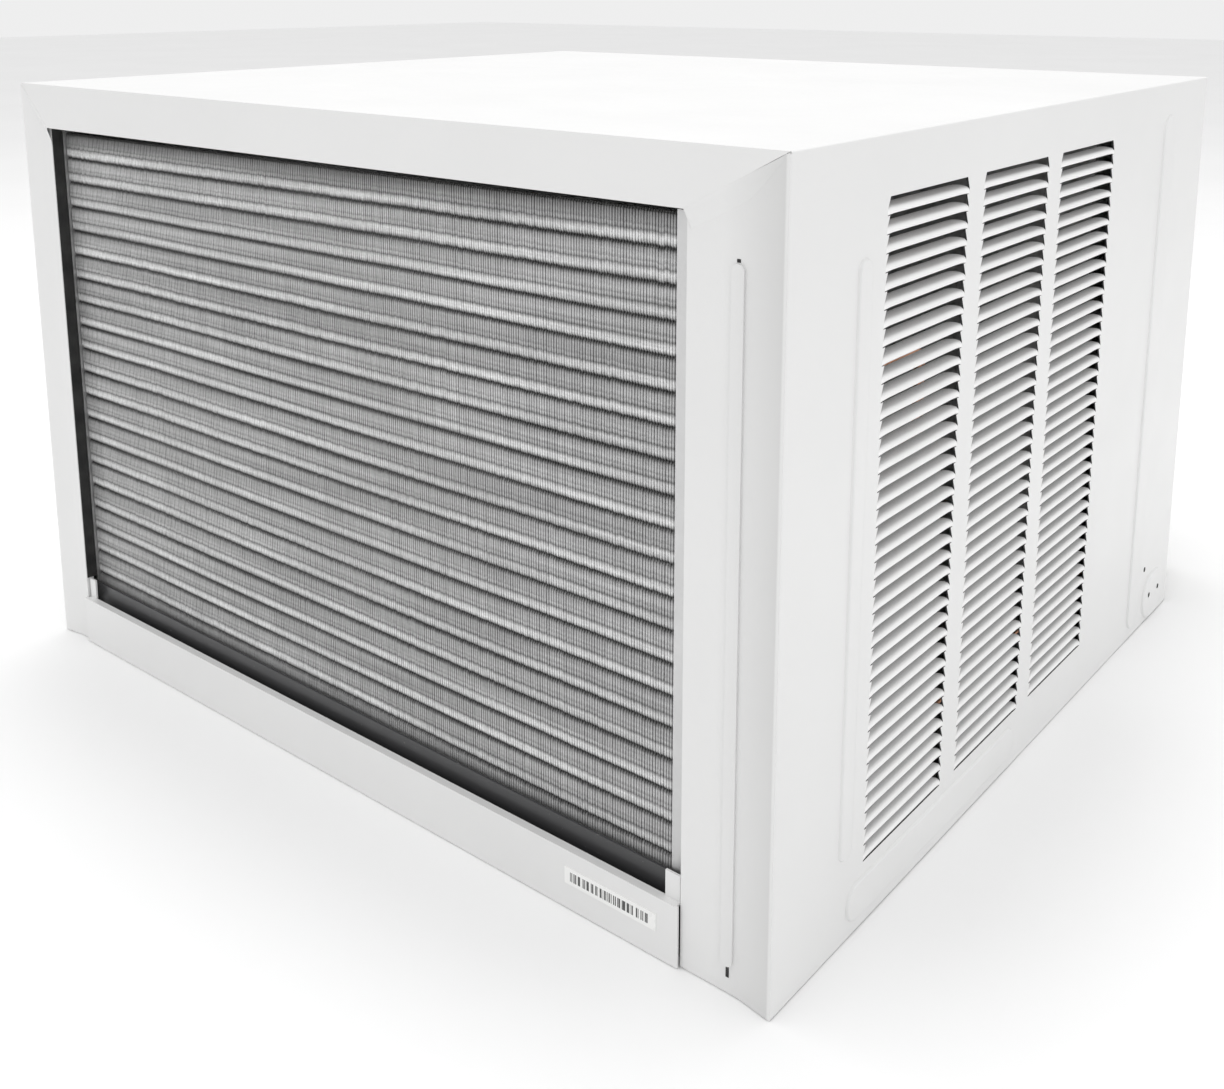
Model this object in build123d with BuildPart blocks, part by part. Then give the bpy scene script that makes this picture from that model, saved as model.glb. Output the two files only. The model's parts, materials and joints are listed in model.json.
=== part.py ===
"""Window air conditioner with a slide-out chassis.

The cabinet is a louvered sheet-metal sleeve.  The chassis slides in it and
carries the refrigeration circuit, the double-shaft fan motor and the room-side
front.  +Y is outdoors, -Y is the room, +Z is up.  Units are millimetres.
"""

from build123d import *
import math
import os

os.makedirs("parts", exist_ok=True)

# ---------------------------------------------------------------- driving sizes
WIDTH = 660.0  # over the pressed ribs of both sides
HEIGHT = 430.0
CABINET_DEPTH = 600.0
PANEL_DEPTH = 72.0  # room-side front, in front of the cabinet mouth
SHEET = 1.2
RIB = 1.5  # height of a pressed rib

Y_REAR = (CABINET_DEPTH + PANEL_DEPTH) / 2
Y_MOUTH = Y_REAR - CABINET_DEPTH
Y_FRONT = -Y_REAR
X_SIDE = WIDTH / 2 - RIB  # outer face of the side sheets
CENTRE = (Align.CENTER, Align.CENTER, Align.CENTER)


def save(builder, name):
    """Label a finished piece and write its file."""
    builder.part.label = name
    export_step(builder.part, f"parts/{name}.step")


def spanned_box(x, y, z, mode=Mode.ADD):
    """A box given by its lowest and highest value along each axis."""
    centre = ((x[0] + x[1]) / 2, (y[0] + y[1]) / 2, (z[0] + z[1]) / 2)
    with Locations(centre):
        Box(x[1] - x[0], y[1] - y[0], z[1] - z[0], mode=mode)


def spanned_rectangle(x, y, mode=Mode.ADD):
    """A rectangle given by its lowest and highest value along each axis."""
    with Locations(((x[0] + x[1]) / 2, (y[0] + y[1]) / 2)):
        Rectangle(x[1] - x[0], y[1] - y[0], mode=mode)


def tube(points, tube_radius, bend_radius):
    """A round line through the points, with every corner bent to one radius."""
    corners = [Vector(*p) for p in points]
    with BuildPart() as line_part:
        with BuildLine() as path:
            start = corners[0]
            for before, corner, after in zip(corners, corners[1:], corners[2:]):
                back = (before - corner).normalized()
                ahead = (after - corner).normalized()
                half_angle = math.radians(back.get_angle(ahead)) / 2
                reach = bend_radius / math.tan(half_angle)
                inward = (back + ahead).normalized()
                centre = corner + inward * (bend_radius / math.sin(half_angle))
                arc_start = corner + back * reach
                arc_end = corner + ahead * reach
                Line(start, arc_start)
                ThreePointArc(arc_start, centre - inward * bend_radius, arc_end)
                start = arc_end
            Line(start, corners[-1])
        with BuildSketch(Plane(path.line @ 0, z_dir=path.line % 0)):
            Circle(tube_radius)
        sweep()
    return line_part.part


# ------------------------------------------------------------------- the cabinet
LOUVER_COLUMNS = 3
LOUVER_ROWS = 38
LOUVER_LENGTH = 92.0
LOUVER_SLOT = 6.2
LOUVER_COLUMN_PITCH = 110.8
LOUVER_ROW_PITCH = 9.51
LOUVER_MIDDLE_Y = Y_REAR - 247.6
LOUVER_MIDDLE_Z = 220.0
LOUVER_INWARD = 6.0  # how far the free edge of a blade is pressed in
LOUVER_RISE = 1.8  # how much higher its free edge lies than its root

# one blade: a nearly level flap that leaves the sheet at the lower edge of its slot
with BuildPart() as louver_blade:
    blade_root = (-X_SIDE + 0.4, 0, -LOUVER_SLOT / 2 - 0.8)
    blade_normal = (-LOUVER_RISE, 0, LOUVER_INWARD)
    blade_depth = math.hypot(LOUVER_INWARD, LOUVER_RISE)
    with BuildSketch(Plane(blade_root, x_dir=(0, -1, 0), z_dir=blade_normal)):
        with BuildLine():
            half = LOUVER_LENGTH / 2
            Polyline(
                (-half, 0),
                (half, 0),
                (half - 6, blade_depth),
                (6 - half, blade_depth),
                close=True,
            )
        make_face()
    extrude(amount=0.9)

with BuildPart() as side_right:
    with BuildSketch(Plane.YZ.offset(-X_SIDE)):
        spanned_rectangle((Y_MOUTH, Y_REAR - SHEET), (0, HEIGHT - SHEET))
        with Locations((LOUVER_MIDDLE_Y, LOUVER_MIDDLE_Z)):
            with GridLocations(LOUVER_COLUMN_PITCH, LOUVER_ROW_PITCH, LOUVER_COLUMNS, LOUVER_ROWS):
                Trapezoid(LOUVER_LENGTH, LOUVER_SLOT, 64, mode=Mode.SUBTRACT)
    extrude(amount=SHEET)
    # pressed ribs that stiffen the sheet, raised outward
    with BuildSketch(Plane.YZ.offset(-X_SIDE)):
        with Locations((Y_REAR - 70, 211)):
            SlotOverall(322, 13, rotation=90)
        with Locations((Y_REAR - 181.5, 18.5)):
            SlotOverall(217, 22)
        with Locations((Y_REAR - 517.5, 207)):
            SlotOverall(400, 24, rotation=90)
        with Locations((Y_REAR - 563.5, 20)):
            SlotOverall(47, 38)
    extrude(amount=-RIB, taper=35)
    with BuildSketch(Plane.YZ.offset(-X_SIDE)):
        spanned_rectangle((Y_MOUTH, Y_MOUTH + 6), (0, HEIGHT - SHEET))
    extrude(amount=-0.5)
    # fixing holes in the boss by the mouth
    with Locations((-X_SIDE, Y_REAR - 541.7, 47), (-X_SIDE, Y_REAR - 574, 22), (-X_SIDE, Y_REAR - 553, 22)):
        Cylinder(2.2, 10, rotation=(0, 90, 0), mode=Mode.SUBTRACT)
    with Locations((0, LOUVER_MIDDLE_Y, LOUVER_MIDDLE_Z)):
        blade_spots = [
            (0, (column - 1) * LOUVER_COLUMN_PITCH, (row - (LOUVER_ROWS - 1) / 2) * LOUVER_ROW_PITCH)
            for column in range(LOUVER_COLUMNS)
            for row in range(LOUVER_ROWS)
        ]
        with Locations(*blade_spots):
            add(louver_blade.part)
save(side_right, "cabinet_side_right")

with BuildPart() as side_left:
    add(mirror(side_right.part, about=Plane.YZ))
save(side_left, "cabinet_side_left")

with BuildPart() as cabinet_top:
    spanned_box((-X_SIDE, X_SIDE), (Y_MOUTH, Y_REAR - SHEET), (HEIGHT - SHEET, HEIGHT))
    fillet(cabinet_top.edges().filter_by(Axis.Y).group_by(Axis.Z)[-1], radius=1.0)
save(cabinet_top, "cabinet_top")

MOUNT_HOLE_X = 250.0
MOUNT_HOLE_Y = 190.0
MOUNT_HOLE_R = 4.5
DRAIN_X = -150.0
DRAIN_Y = 262.0
GLIDE_TOP = 3.2
FLANGE_DISH = 3.0  # how far the rear side flanges are recessed behind the rear plane
LIP = 5.5  # folded edge round the rear opening

with BuildPart() as cabinet_floor:
    floor_y = (Y_MOUTH, Y_REAR - FLANGE_DISH - LIP - 0.3)
    spanned_box((SHEET - X_SIDE, X_SIDE - SHEET), floor_y, (0, SHEET))
    for glide_x in (-200, 200):
        spanned_box((glide_x - 12, glide_x + 12), (Y_MOUTH + 10, Y_REAR - 30), (SHEET, GLIDE_TOP))
    with Locations((0, 0, SHEET / 2)):
        with GridLocations(2 * MOUNT_HOLE_X, 2 * MOUNT_HOLE_Y, 2, 2):
            Cylinder(MOUNT_HOLE_R, 10, mode=Mode.SUBTRACT)
    with Locations((DRAIN_X, DRAIN_Y, SHEET / 2)):
        Cylinder(16, 10, mode=Mode.SUBTRACT)
save(cabinet_floor, "cabinet_floor")

# rear frame: flanges round the coil opening, mitred at the top corners
OPENING_LEFT = 296.7
OPENING_RIGHT = -271.7
OPENING_BOTTOM = 35.5
OPENING_TOP = 399.0
RIB_X = -301.0


def side_flange(sign, opening_x, name, rib):
    """A dished side flange with a folded lip at the opening."""
    edge = opening_x
    y_dish = Y_REAR - FLANGE_DISH
    with BuildPart() as flange:
        with BuildSketch(Plane.XY):
            with BuildLine():
                l1 = Line((sign * X_SIDE, Y_REAR), (sign * (X_SIDE - 2), Y_REAR))
                l2 = Spline(
                    l1 @ 1,
                    (sign * (X_SIDE - 26), y_dish),
                    tangents=((-sign, -0.12), (-sign, 0)),
                )
                l3 = Polyline(
                    l2 @ 1,
                    (sign * edge, y_dish),
                    (sign * edge, y_dish - LIP),
                    (sign * (edge + SHEET), y_dish - LIP),
                    (sign * (edge + SHEET), y_dish - SHEET),
                    (sign * (X_SIDE - 26), y_dish - SHEET),
                )
                l4 = Spline(
                    l3 @ 1,
                    (sign * (X_SIDE - 2), Y_REAR - SHEET),
                    tangents=((sign, 0), (sign, 0.12)),
                )
                Polyline(l4 @ 1, (sign * X_SIDE, Y_REAR - SHEET), l1 @ 0)
            make_face()
        extrude(amount=HEIGHT - SHEET)
        if rib:
            with BuildSketch(Plane.XZ.offset(-(y_dish - SHEET / 2))):
                with Locations((RIB_X, 196)):
                    SlotOverall(361, 7, rotation=90)
            extrude(amount=-(SHEET / 2 + 1.2))
        # mitre from the cabinet corner to the corner of the opening
        mitre_rise = HEIGHT - OPENING_TOP
        mitre_run = X_SIDE - edge
        split(
            bisect_by=Plane(
                (sign * X_SIDE, Y_REAR, HEIGHT),
                x_dir=(0, 1, 0),
                z_dir=(sign * mitre_rise, 0, -mitre_run),
            ),
            keep=Keep.TOP,
        )
    save(flange, name)


side_flange(-1, -OPENING_RIGHT, "rear_frame_right", True)
side_flange(1, OPENING_LEFT, "rear_frame_left", False)

with BuildPart() as rear_frame_top:
    with BuildSketch(Plane.XZ.offset(-Y_REAR)):
        with BuildLine():
            Polyline(
                (-X_SIDE, HEIGHT),
                (X_SIDE, HEIGHT),
                (OPENING_LEFT, OPENING_TOP),
                (OPENING_RIGHT, OPENING_TOP),
                close=True,
            )
        make_face()
    extrude(amount=SHEET)
    spanned_box(
        (OPENING_RIGHT + SHEET, OPENING_LEFT - SHEET),
        (Y_REAR - LIP, Y_REAR - SHEET),
        (OPENING_TOP, OPENING_TOP + SHEET),
    )
save(rear_frame_top, "rear_frame_top")

SILL_REAR = Y_REAR - 0.4

with BuildPart() as rear_sill:
    spanned_box((OPENING_RIGHT, OPENING_LEFT), (SILL_REAR - SHEET, SILL_REAR), (0, OPENING_BOTTOM))
    spanned_box(
        (OPENING_RIGHT + SHEET, OPENING_LEFT - SHEET),
        (Y_REAR - LIP, SILL_REAR - SHEET),
        (OPENING_BOTTOM - SHEET, OPENING_BOTTOM),
    )
save(rear_sill, "rear_sill")

with BuildPart() as corner_brackets:
    tab_y = (Y_REAR - 6.0, Y_REAR - 4.6)
    tab_z = (OPENING_BOTTOM, OPENING_BOTTOM + 15)
    spanned_box((OPENING_LEFT - 9, OPENING_LEFT - 1.5), tab_y, tab_z)
    spanned_box((OPENING_RIGHT + 1.5, OPENING_RIGHT + 11), tab_y, tab_z)
save(corner_brackets, "corner_brackets")

# blank rating plate on the sill
with BuildPart() as rating_plate:
    spanned_box((-258, -195), (SILL_REAR, Y_REAR), (15.5, 25.5))
save(rating_plate, "rating_plate")

# ------------------------------------------------------------------- the chassis
PAN_X = 316.0
PAN_FRONT = Y_MOUTH + 2.0
PAN_REAR = Y_REAR - 10.0
PAN_BOTTOM = GLIDE_TOP + 0.4
PAN_SHEET = 1.4
PAN_FLOOR = PAN_BOTTOM + PAN_SHEET
REAR_WALL_TOP = 46.0
SIDE_WALL_TOP = 28.0
DRAIN_R = 9.5

with BuildPart() as base_pan:
    spanned_box((-PAN_X, PAN_X), (PAN_FRONT, PAN_REAR), (PAN_BOTTOM, REAR_WALL_TOP))
    inside_x = (PAN_SHEET - PAN_X, PAN_X - PAN_SHEET)
    inside_y = (PAN_FRONT + PAN_SHEET, PAN_REAR - PAN_SHEET)
    spanned_box(inside_x, inside_y, (PAN_FLOOR, REAR_WALL_TOP), mode=Mode.SUBTRACT)
    spanned_box(
        (-PAN_X, PAN_X),
        (PAN_FRONT, PAN_REAR - PAN_SHEET),
        (SIDE_WALL_TOP, REAR_WALL_TOP),
        mode=Mode.SUBTRACT,
    )
    with Locations((DRAIN_X, DRAIN_Y, PAN_FLOOR + 1.5)):
        Cylinder(DRAIN_R + 2, 3)
    with Locations((DRAIN_X, DRAIN_Y, PAN_FLOOR)):
        Cylinder(DRAIN_R, 20, mode=Mode.SUBTRACT)
save(base_pan, "base_pan")

# condenser: two columns of tubes through a fin block
TUBE_PITCH = 18.0
TUBE_R = 3.5
FIN_REAR = Y_REAR - 14.0
FIN_FRONT = FIN_REAR - 42.0
COND_X = (-259.0, 298.0)
COND_Z = (16.0, 394.0)
COND_ROWS = 21
COND_COLUMNS_Y = (FIN_FRONT + 10, FIN_REAR - 10)
PLATE = 1.5


def coil_fins(x, y, z, columns_y, rows, name):
    """A fin block, drilled for its tubes."""
    with BuildPart() as fins:
        with BuildSketch(Plane.YZ.offset(x[0])):
            spanned_rectangle(y, z)
            with Locations((sum(columns_y) / 2, (z[0] + z[1]) / 2)):
                with GridLocations(columns_y[1] - columns_y[0], TUBE_PITCH, 2, rows):
                    Circle(TUBE_R + 0.05, mode=Mode.SUBTRACT)
        extrude(amount=x[1] - x[0])
    save(fins, name)


def end_plates(x, y, z, middle_z, columns_y, rows, flange, name):
    """The two end plates of a coil, with rear flanges turned away from the fins."""
    with BuildPart() as plates:
        for face_x in (x[0] - PLATE, x[1]):
            with BuildSketch(Plane.YZ.offset(face_x)):
                spanned_rectangle(y, z)
                with Locations((sum(columns_y) / 2, middle_z)):
                    with GridLocations(columns_y[1] - columns_y[0], TUBE_PITCH, 2, rows):
                        Circle(TUBE_R + 0.05, mode=Mode.SUBTRACT)
            extrude(amount=PLATE)
        spanned_box((x[0] - flange, x[0] - PLATE), (y[1] - PLATE, y[1]), z)
        spanned_box((x[1] + PLATE, x[1] + flange), (y[1] - PLATE, y[1]), z)
    save(plates, name)


def row_height(z, rows, row):
    """Height of one row of tubes, counted from the bottom."""
    return (z[0] + z[1]) / 2 + (row - (rows - 1) / 2) * TUBE_PITCH


def u_bend(x_start, x_bend, first, second):
    """A tube from x_start, round a half turn beyond x_bend, and back to x_start."""
    a = Vector(x_bend, *first)
    b = Vector(x_bend, *second)
    outward = Vector(math.copysign((b - a).length / 2, x_bend - x_start), 0, 0)
    with BuildPart() as bend:
        with BuildLine() as path:
            Line((x_start, *first), a)
            ThreePointArc(a, (a + b) / 2 + outward, b)
            Line(b, (x_start, *second))
        with BuildSketch(Plane((x_start, *first), z_dir=path.line % 0)):
            Circle(TUBE_R)
        sweep()
    return bend.part


def coil_tubes(x_open, x_closed, z, columns_y, rows, crossing_row, name):
    """Hairpins through the fins, open at x_open, and the return bends that join them.

    The hairpin in the crossing row joins the two columns, and the row at the
    other end of the coil stays open as its inlet and outlet.
    """
    side = math.copysign(1, x_closed - x_open)
    heights = [row_height(z, rows, row) for row in range(rows)]
    first_pair = 1 if crossing_row == 0 else 0
    crossing = heights[crossing_row]
    with BuildPart() as tubes:
        add(u_bend(x_open, x_closed, (columns_y[0], crossing), (columns_y[1], crossing)))
        for y in columns_y:
            for row in range(first_pair, rows - 1, 2):
                add(u_bend(x_open, x_closed, (y, heights[row]), (y, heights[row + 1])))
            for row in range(1 - first_pair, rows - 1, 2):
                bend_x = x_open - side * 2.0
                add(u_bend(x_open, bend_x, (y, heights[row]), (y, heights[row + 1])))
    save(tubes, name)


coil_fins(COND_X, (FIN_FRONT, FIN_REAR), COND_Z, COND_COLUMNS_Y, COND_ROWS, "condenser_fins")
end_plates(
    COND_X,
    (FIN_FRONT - 2, FIN_REAR + PLATE),
    (COND_Z[0] - 6, COND_Z[1] + 2),
    sum(COND_Z) / 2,
    COND_COLUMNS_Y,
    COND_ROWS,
    12,
    "condenser_end_plates",
)
COND_OPEN_X = COND_X[0] - PLATE - 1
coil_tubes(
    COND_OPEN_X,
    COND_X[1] + PLATE + 0.3,
    COND_Z,
    COND_COLUMNS_Y,
    COND_ROWS,
    0,
    "condenser_tubes",
)

# fan shroud: a plate with an orifice, boxed back to the condenser
FAN_X = -45.0
FAN_Z = 196.0
FAN_R = 172.0
SHROUD_Y = Y_REAR - 114.0
SHROUD_X = (COND_X[0] - 5, COND_X[1] + 5)
SHROUD_TOP = COND_Z[1] + 6

with BuildPart() as fan_shroud:
    spanned_box(SHROUD_X, (SHROUD_Y, FIN_FRONT - 2.5), (12, SHROUD_TOP))
    spanned_box(
        (SHROUD_X[0] + 2, SHROUD_X[1] - 2),
        (SHROUD_Y + 2, FIN_FRONT),
        (0, SHROUD_TOP - 2),
        mode=Mode.SUBTRACT,
    )
    with Locations(Plane((FAN_X, SHROUD_Y - 4, FAN_Z), z_dir=(0, 1, 0))):
        Cylinder(FAN_R + 8, 12)
        Cylinder(FAN_R + 6, 40, mode=Mode.SUBTRACT)
save(fan_shroud, "fan_shroud")

# fan motor on its pedestal
MOTOR_R = 66.0
MOTOR_Y = (-60.0, 70.0)
SHAFT_R = 6.0

with BuildPart() as fan_motor:
    with BuildSketch(Plane((FAN_X, 0, FAN_Z), x_dir=(0, 1, 0), z_dir=(1, 0, 0))):
        with BuildLine():
            Polyline(
                (MOTOR_Y[0] - 14, SHAFT_R + 0.05),
                (MOTOR_Y[0] - 14, 20),
                (MOTOR_Y[0], 24),
                (MOTOR_Y[0] + 4, MOTOR_R - 6),
                (MOTOR_Y[0] + 24, MOTOR_R),
                (MOTOR_Y[1] - 24, MOTOR_R),
                (MOTOR_Y[1] - 4, MOTOR_R - 6),
                (MOTOR_Y[1], 24),
                (MOTOR_Y[1] + 14, 20),
                (MOTOR_Y[1] + 14, SHAFT_R + 0.05),
                close=True,
            )
        make_face()
    revolve(axis=Axis((FAN_X, 0, FAN_Z), (0, 1, 0)))
save(fan_motor, "fan_motor")

with BuildPart() as motor_bracket:
    with BuildSketch(Plane.XZ.offset(15)):
        with BuildLine():
            Polyline(
                (FAN_X - 75, PAN_FLOOR),
                (FAN_X + 75, PAN_FLOOR),
                (FAN_X + 55, 165),
                (FAN_X - 55, 165),
                close=True,
            )
        make_face()
        with Locations((FAN_X, FAN_Z)):
            Circle(MOTOR_R + 0.05, mode=Mode.SUBTRACT)
        with BuildLine():
            Polyline(
                (FAN_X - 58, PAN_FLOOR + 12),
                (FAN_X + 58, PAN_FLOOR + 12),
                (FAN_X + 48, 105),
                (FAN_X - 48, 105),
                close=True,
            )
        make_face(mode=Mode.SUBTRACT)
    extrude(amount=-40)
    for side in (-1, 1):
        foot = sorted((FAN_X + side * 68, FAN_X + side * 100))
        spanned_box(foot, (-15, 25), (PAN_FLOOR, PAN_FLOOR + 3))
save(motor_bracket, "motor_bracket")

with BuildPart() as motor_bolts:
    with BuildSketch(Plane.XY.offset(PAN_FLOOR + 3)):
        with Locations((FAN_X, 5)):
            with GridLocations(176, 24, 2, 2):
                RegularPolygon(5, 6)
    extrude(amount=4)
save(motor_bolts, "motor_bolts")

# rotating group: shaft, condenser fan and blower wheel
BLOWER_Y = (-196.0, -92.0)
FAN_Y = (SHROUD_Y - 14, SHROUD_Y + 30)

with BuildPart() as motor_shaft:
    with Locations(Plane((FAN_X, (BLOWER_Y[0] + FAN_Y[1]) / 2, FAN_Z), z_dir=(0, 1, 0))):
        Cylinder(SHAFT_R, FAN_Y[1] - BLOWER_Y[0])
save(motor_shaft, "motor_shaft")

FAN_BLADES = 5
BLADE_TILT = 28.0

with BuildPart() as condenser_fan:
    fan_plane = Plane((FAN_X, FAN_Y[0] + 4, FAN_Z), x_dir=(1, 0, 0), z_dir=(0, 1, 0))
    with BuildSketch(fan_plane):
        Circle(30)
    extrude(amount=30)
    for blade in range(FAN_BLADES):
        spoke = math.radians(360 / FAN_BLADES * blade)
        out = Vector(math.cos(spoke), 0, math.sin(spoke))
        tangent = Vector(-math.sin(spoke), 0, math.cos(spoke))
        tilt = math.radians(BLADE_TILT)
        chord = tangent * math.cos(tilt) + Vector(0, math.sin(tilt), 0)
        blade_middle = Vector(FAN_X, FAN_Y[0] + 19, FAN_Z)
        with BuildSketch(Plane(blade_middle, x_dir=out, z_dir=out.cross(chord))):
            with BuildLine():
                Polyline(
                    (26, -13),
                    (70, -30),
                    (FAN_R - 1.5, -34),
                    (FAN_R - 1.5, 34),
                    (70, 26),
                    (26, 13),
                    close=True,
                )
            make_face()
        extrude(amount=1.2, both=True)
    # slinger ring that throws the condensate on the coil
    with BuildSketch(Plane((FAN_X, FAN_Y[0] + 28, FAN_Z), x_dir=(1, 0, 0), z_dir=(0, 1, 0))):
        Circle(FAN_R)
        Circle(FAN_R - 3, mode=Mode.SUBTRACT)
    extrude(amount=12)
    with Locations(Plane((FAN_X, FAN_Y[0] + 20, FAN_Z), z_dir=(0, 1, 0))):
        Cylinder(SHAFT_R, 80, mode=Mode.SUBTRACT)
save(condenser_fan, "condenser_fan")

WHEEL_R = 106.0
WHEEL_BLADES = 36

with BuildPart() as blower_wheel:
    with BuildSketch(Plane((FAN_X, BLOWER_Y[1] - 2, FAN_Z), x_dir=(1, 0, 0), z_dir=(0, 1, 0))):
        Circle(WHEEL_R)
    extrude(amount=2)
    with BuildSketch(Plane((FAN_X, BLOWER_Y[0], FAN_Z), x_dir=(1, 0, 0), z_dir=(0, 1, 0))):
        Circle(WHEEL_R)
        Circle(WHEEL_R - 18, mode=Mode.SUBTRACT)
    extrude(amount=2)
    with BuildSketch(Plane((FAN_X, BLOWER_Y[0] + 1, FAN_Z), x_dir=(1, 0, 0), z_dir=(0, 1, 0))):
        with PolarLocations(WHEEL_R - 9, WHEEL_BLADES):
            Rectangle(17, 1.6, rotation=35)
    extrude(amount=BLOWER_Y[1] - BLOWER_Y[0] - 2)
    with BuildSketch(Plane((FAN_X, BLOWER_Y[1] - 45, FAN_Z), x_dir=(1, 0, 0), z_dir=(0, 1, 0))):
        Circle(16)
    extrude(amount=44)
    with Locations(Plane((FAN_X, BLOWER_Y[1], FAN_Z), z_dir=(0, 1, 0))):
        Cylinder(SHAFT_R, 120, mode=Mode.SUBTRACT)
save(blower_wheel, "blower_wheel")

# bulkhead between the outdoor and the room side
BULKHEAD_Y = -78.0
SUCTION_X = 285.0
SUCTION_Z = 35.0
DRIER_X = -302.0
VENT_X = (236.0, 284.0)
VENT_Z = (300.0, 348.0)

with BuildPart() as bulkhead:
    spanned_box((-314, 314), (BULKHEAD_Y, BULKHEAD_Y + 1.5), (PAN_FLOOR, 424))
    with Locations(Plane((FAN_X, BULKHEAD_Y, FAN_Z), z_dir=(0, 1, 0))):
        Cylinder(22, 20, mode=Mode.SUBTRACT)
    with Locations(Plane((SUCTION_X, BULKHEAD_Y, SUCTION_Z), z_dir=(0, 1, 0))):
        Cylinder(9, 20, mode=Mode.SUBTRACT)
    with Locations(Plane((DRIER_X, BULKHEAD_Y, 60), z_dir=(0, 1, 0))):
        Cylinder(5, 20, mode=Mode.SUBTRACT)
    spanned_box(VENT_X, (BULKHEAD_Y - 5, BULKHEAD_Y + 5), VENT_Z, mode=Mode.SUBTRACT)
save(bulkhead, "bulkhead")

with BuildPart() as vent_door:
    door_y = BULKHEAD_Y + 2.0
    spanned_box((VENT_X[0] - 5, VENT_X[1] + 5), (door_y, door_y + 1.6), (VENT_Z[0] - 5, VENT_Z[1] + 6))
    with Locations(Plane(((VENT_X[0] + VENT_X[1]) / 2, door_y + 2.6, VENT_Z[1] + 6), z_dir=(1, 0, 0))):
        Cylinder(2.0, VENT_X[1] - VENT_X[0] + 10)
save(vent_door, "vent_door")

# blower scroll: spiral wall below a plenum that opens towards the room
SCROLL_Y = (-206.0, BULKHEAD_Y - 0.5)
PLENUM_X = (-297.0, 187.0)
PLENUM_Z = (308.0, 421.0)
WALL = 3.0
SCROLL_TURN = 240
SCROLL_GROWTH = 0.17  # millimetres of radius per degree


def scroll_point(turn, extra):
    """Point of the spiral, after some degrees of turn from its tongue."""
    radius = 114 + SCROLL_GROWTH * turn + extra
    angle = math.radians(60 - turn)
    return (FAN_X + radius * math.cos(angle), FAN_Z + radius * math.sin(angle))


def scroll_solid(extra, first_turn, tongue_x, length):
    """Solid of the spiral and its plenum, grown by some wall thickness."""
    turns = [first_turn + (SCROLL_TURN - first_turn) * i / 12 for i in range(13)]
    with BuildPart() as solid:
        with BuildSketch(Plane.XZ.offset(-SCROLL_Y[1])):
            with BuildLine():
                spiral = Spline(*[scroll_point(turn, extra) for turn in turns])
                corner = spiral @ 1
                Polyline(
                    corner,
                    (corner.X, PLENUM_Z[0] - extra),
                    (PLENUM_X[0] - extra, PLENUM_Z[0] - extra),
                    (PLENUM_X[0] - extra, PLENUM_Z[1] + extra),
                    (PLENUM_X[1] + extra, PLENUM_Z[1] + extra),
                    (PLENUM_X[1] + extra, PLENUM_Z[0] - extra),
                    (tongue_x, PLENUM_Z[0] - extra),
                    spiral @ 0,
                )
            make_face()
        extrude(amount=length)
    return solid.part


with BuildPart() as blower_scroll:
    add(scroll_solid(WALL, 12, 40, SCROLL_Y[1] - SCROLL_Y[0]))
    add(scroll_solid(0, 0, 12, SCROLL_Y[1] - SCROLL_Y[0] - WALL), mode=Mode.SUBTRACT)
    with Locations(Plane((FAN_X, SCROLL_Y[0], FAN_Z), z_dir=(0, 1, 0))):
        Cylinder(92, 20, mode=Mode.SUBTRACT)
    spanned_box((-288, 178), (SCROLL_Y[0] - 5, SCROLL_Y[0] + 5), (318, 412), mode=Mode.SUBTRACT)
save(blower_scroll, "blower_scroll")

# evaporator and its drip tray
EVAP_X = (-290.0, 184.0)
EVAP_Y = (-257.0, -215.0)
EVAP_Z = (26.0, 296.0)
EVAP_ROWS = 15
EVAP_COLUMNS_Y = (EVAP_Y[0] + 10, EVAP_Y[1] - 10)
EVAP_OPEN_X = EVAP_X[1] + PLATE + 1

coil_fins(EVAP_X, EVAP_Y, EVAP_Z, EVAP_COLUMNS_Y, EVAP_ROWS, "evaporator_fins")
end_plates(
    EVAP_X,
    EVAP_Y,
    EVAP_Z,
    sum(EVAP_Z) / 2,
    EVAP_COLUMNS_Y,
    EVAP_ROWS,
    8,
    "evaporator_end_plates",
)
coil_tubes(
    EVAP_OPEN_X,
    EVAP_X[0] - PLATE - 2,
    EVAP_Z,
    EVAP_COLUMNS_Y,
    EVAP_ROWS,
    EVAP_ROWS - 1,
    "evaporator_tubes",
)

with BuildPart() as drip_tray:
    spanned_box((-300, 205), (PAN_FRONT + 3, -209), (PAN_FLOOR, 21))
    spanned_box((-298.5, 203.5), (PAN_FRONT + 4.5, -210.5), (PAN_FLOOR + 1.5, 30), mode=Mode.SUBTRACT)
save(drip_tray, "drip_tray")

# compressor on three rubber grommets
COMP = (215.0, 75.0)
COMP_R = 68.0
COMP_BOTTOM = 26.0
COMP_TOP = 300.0
FOOT_RADIUS = 92.0
DOME = 34.0  # height of the domed top
DOME_RADIUS = (COMP_R**2 + DOME**2) / (2 * DOME)

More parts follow.
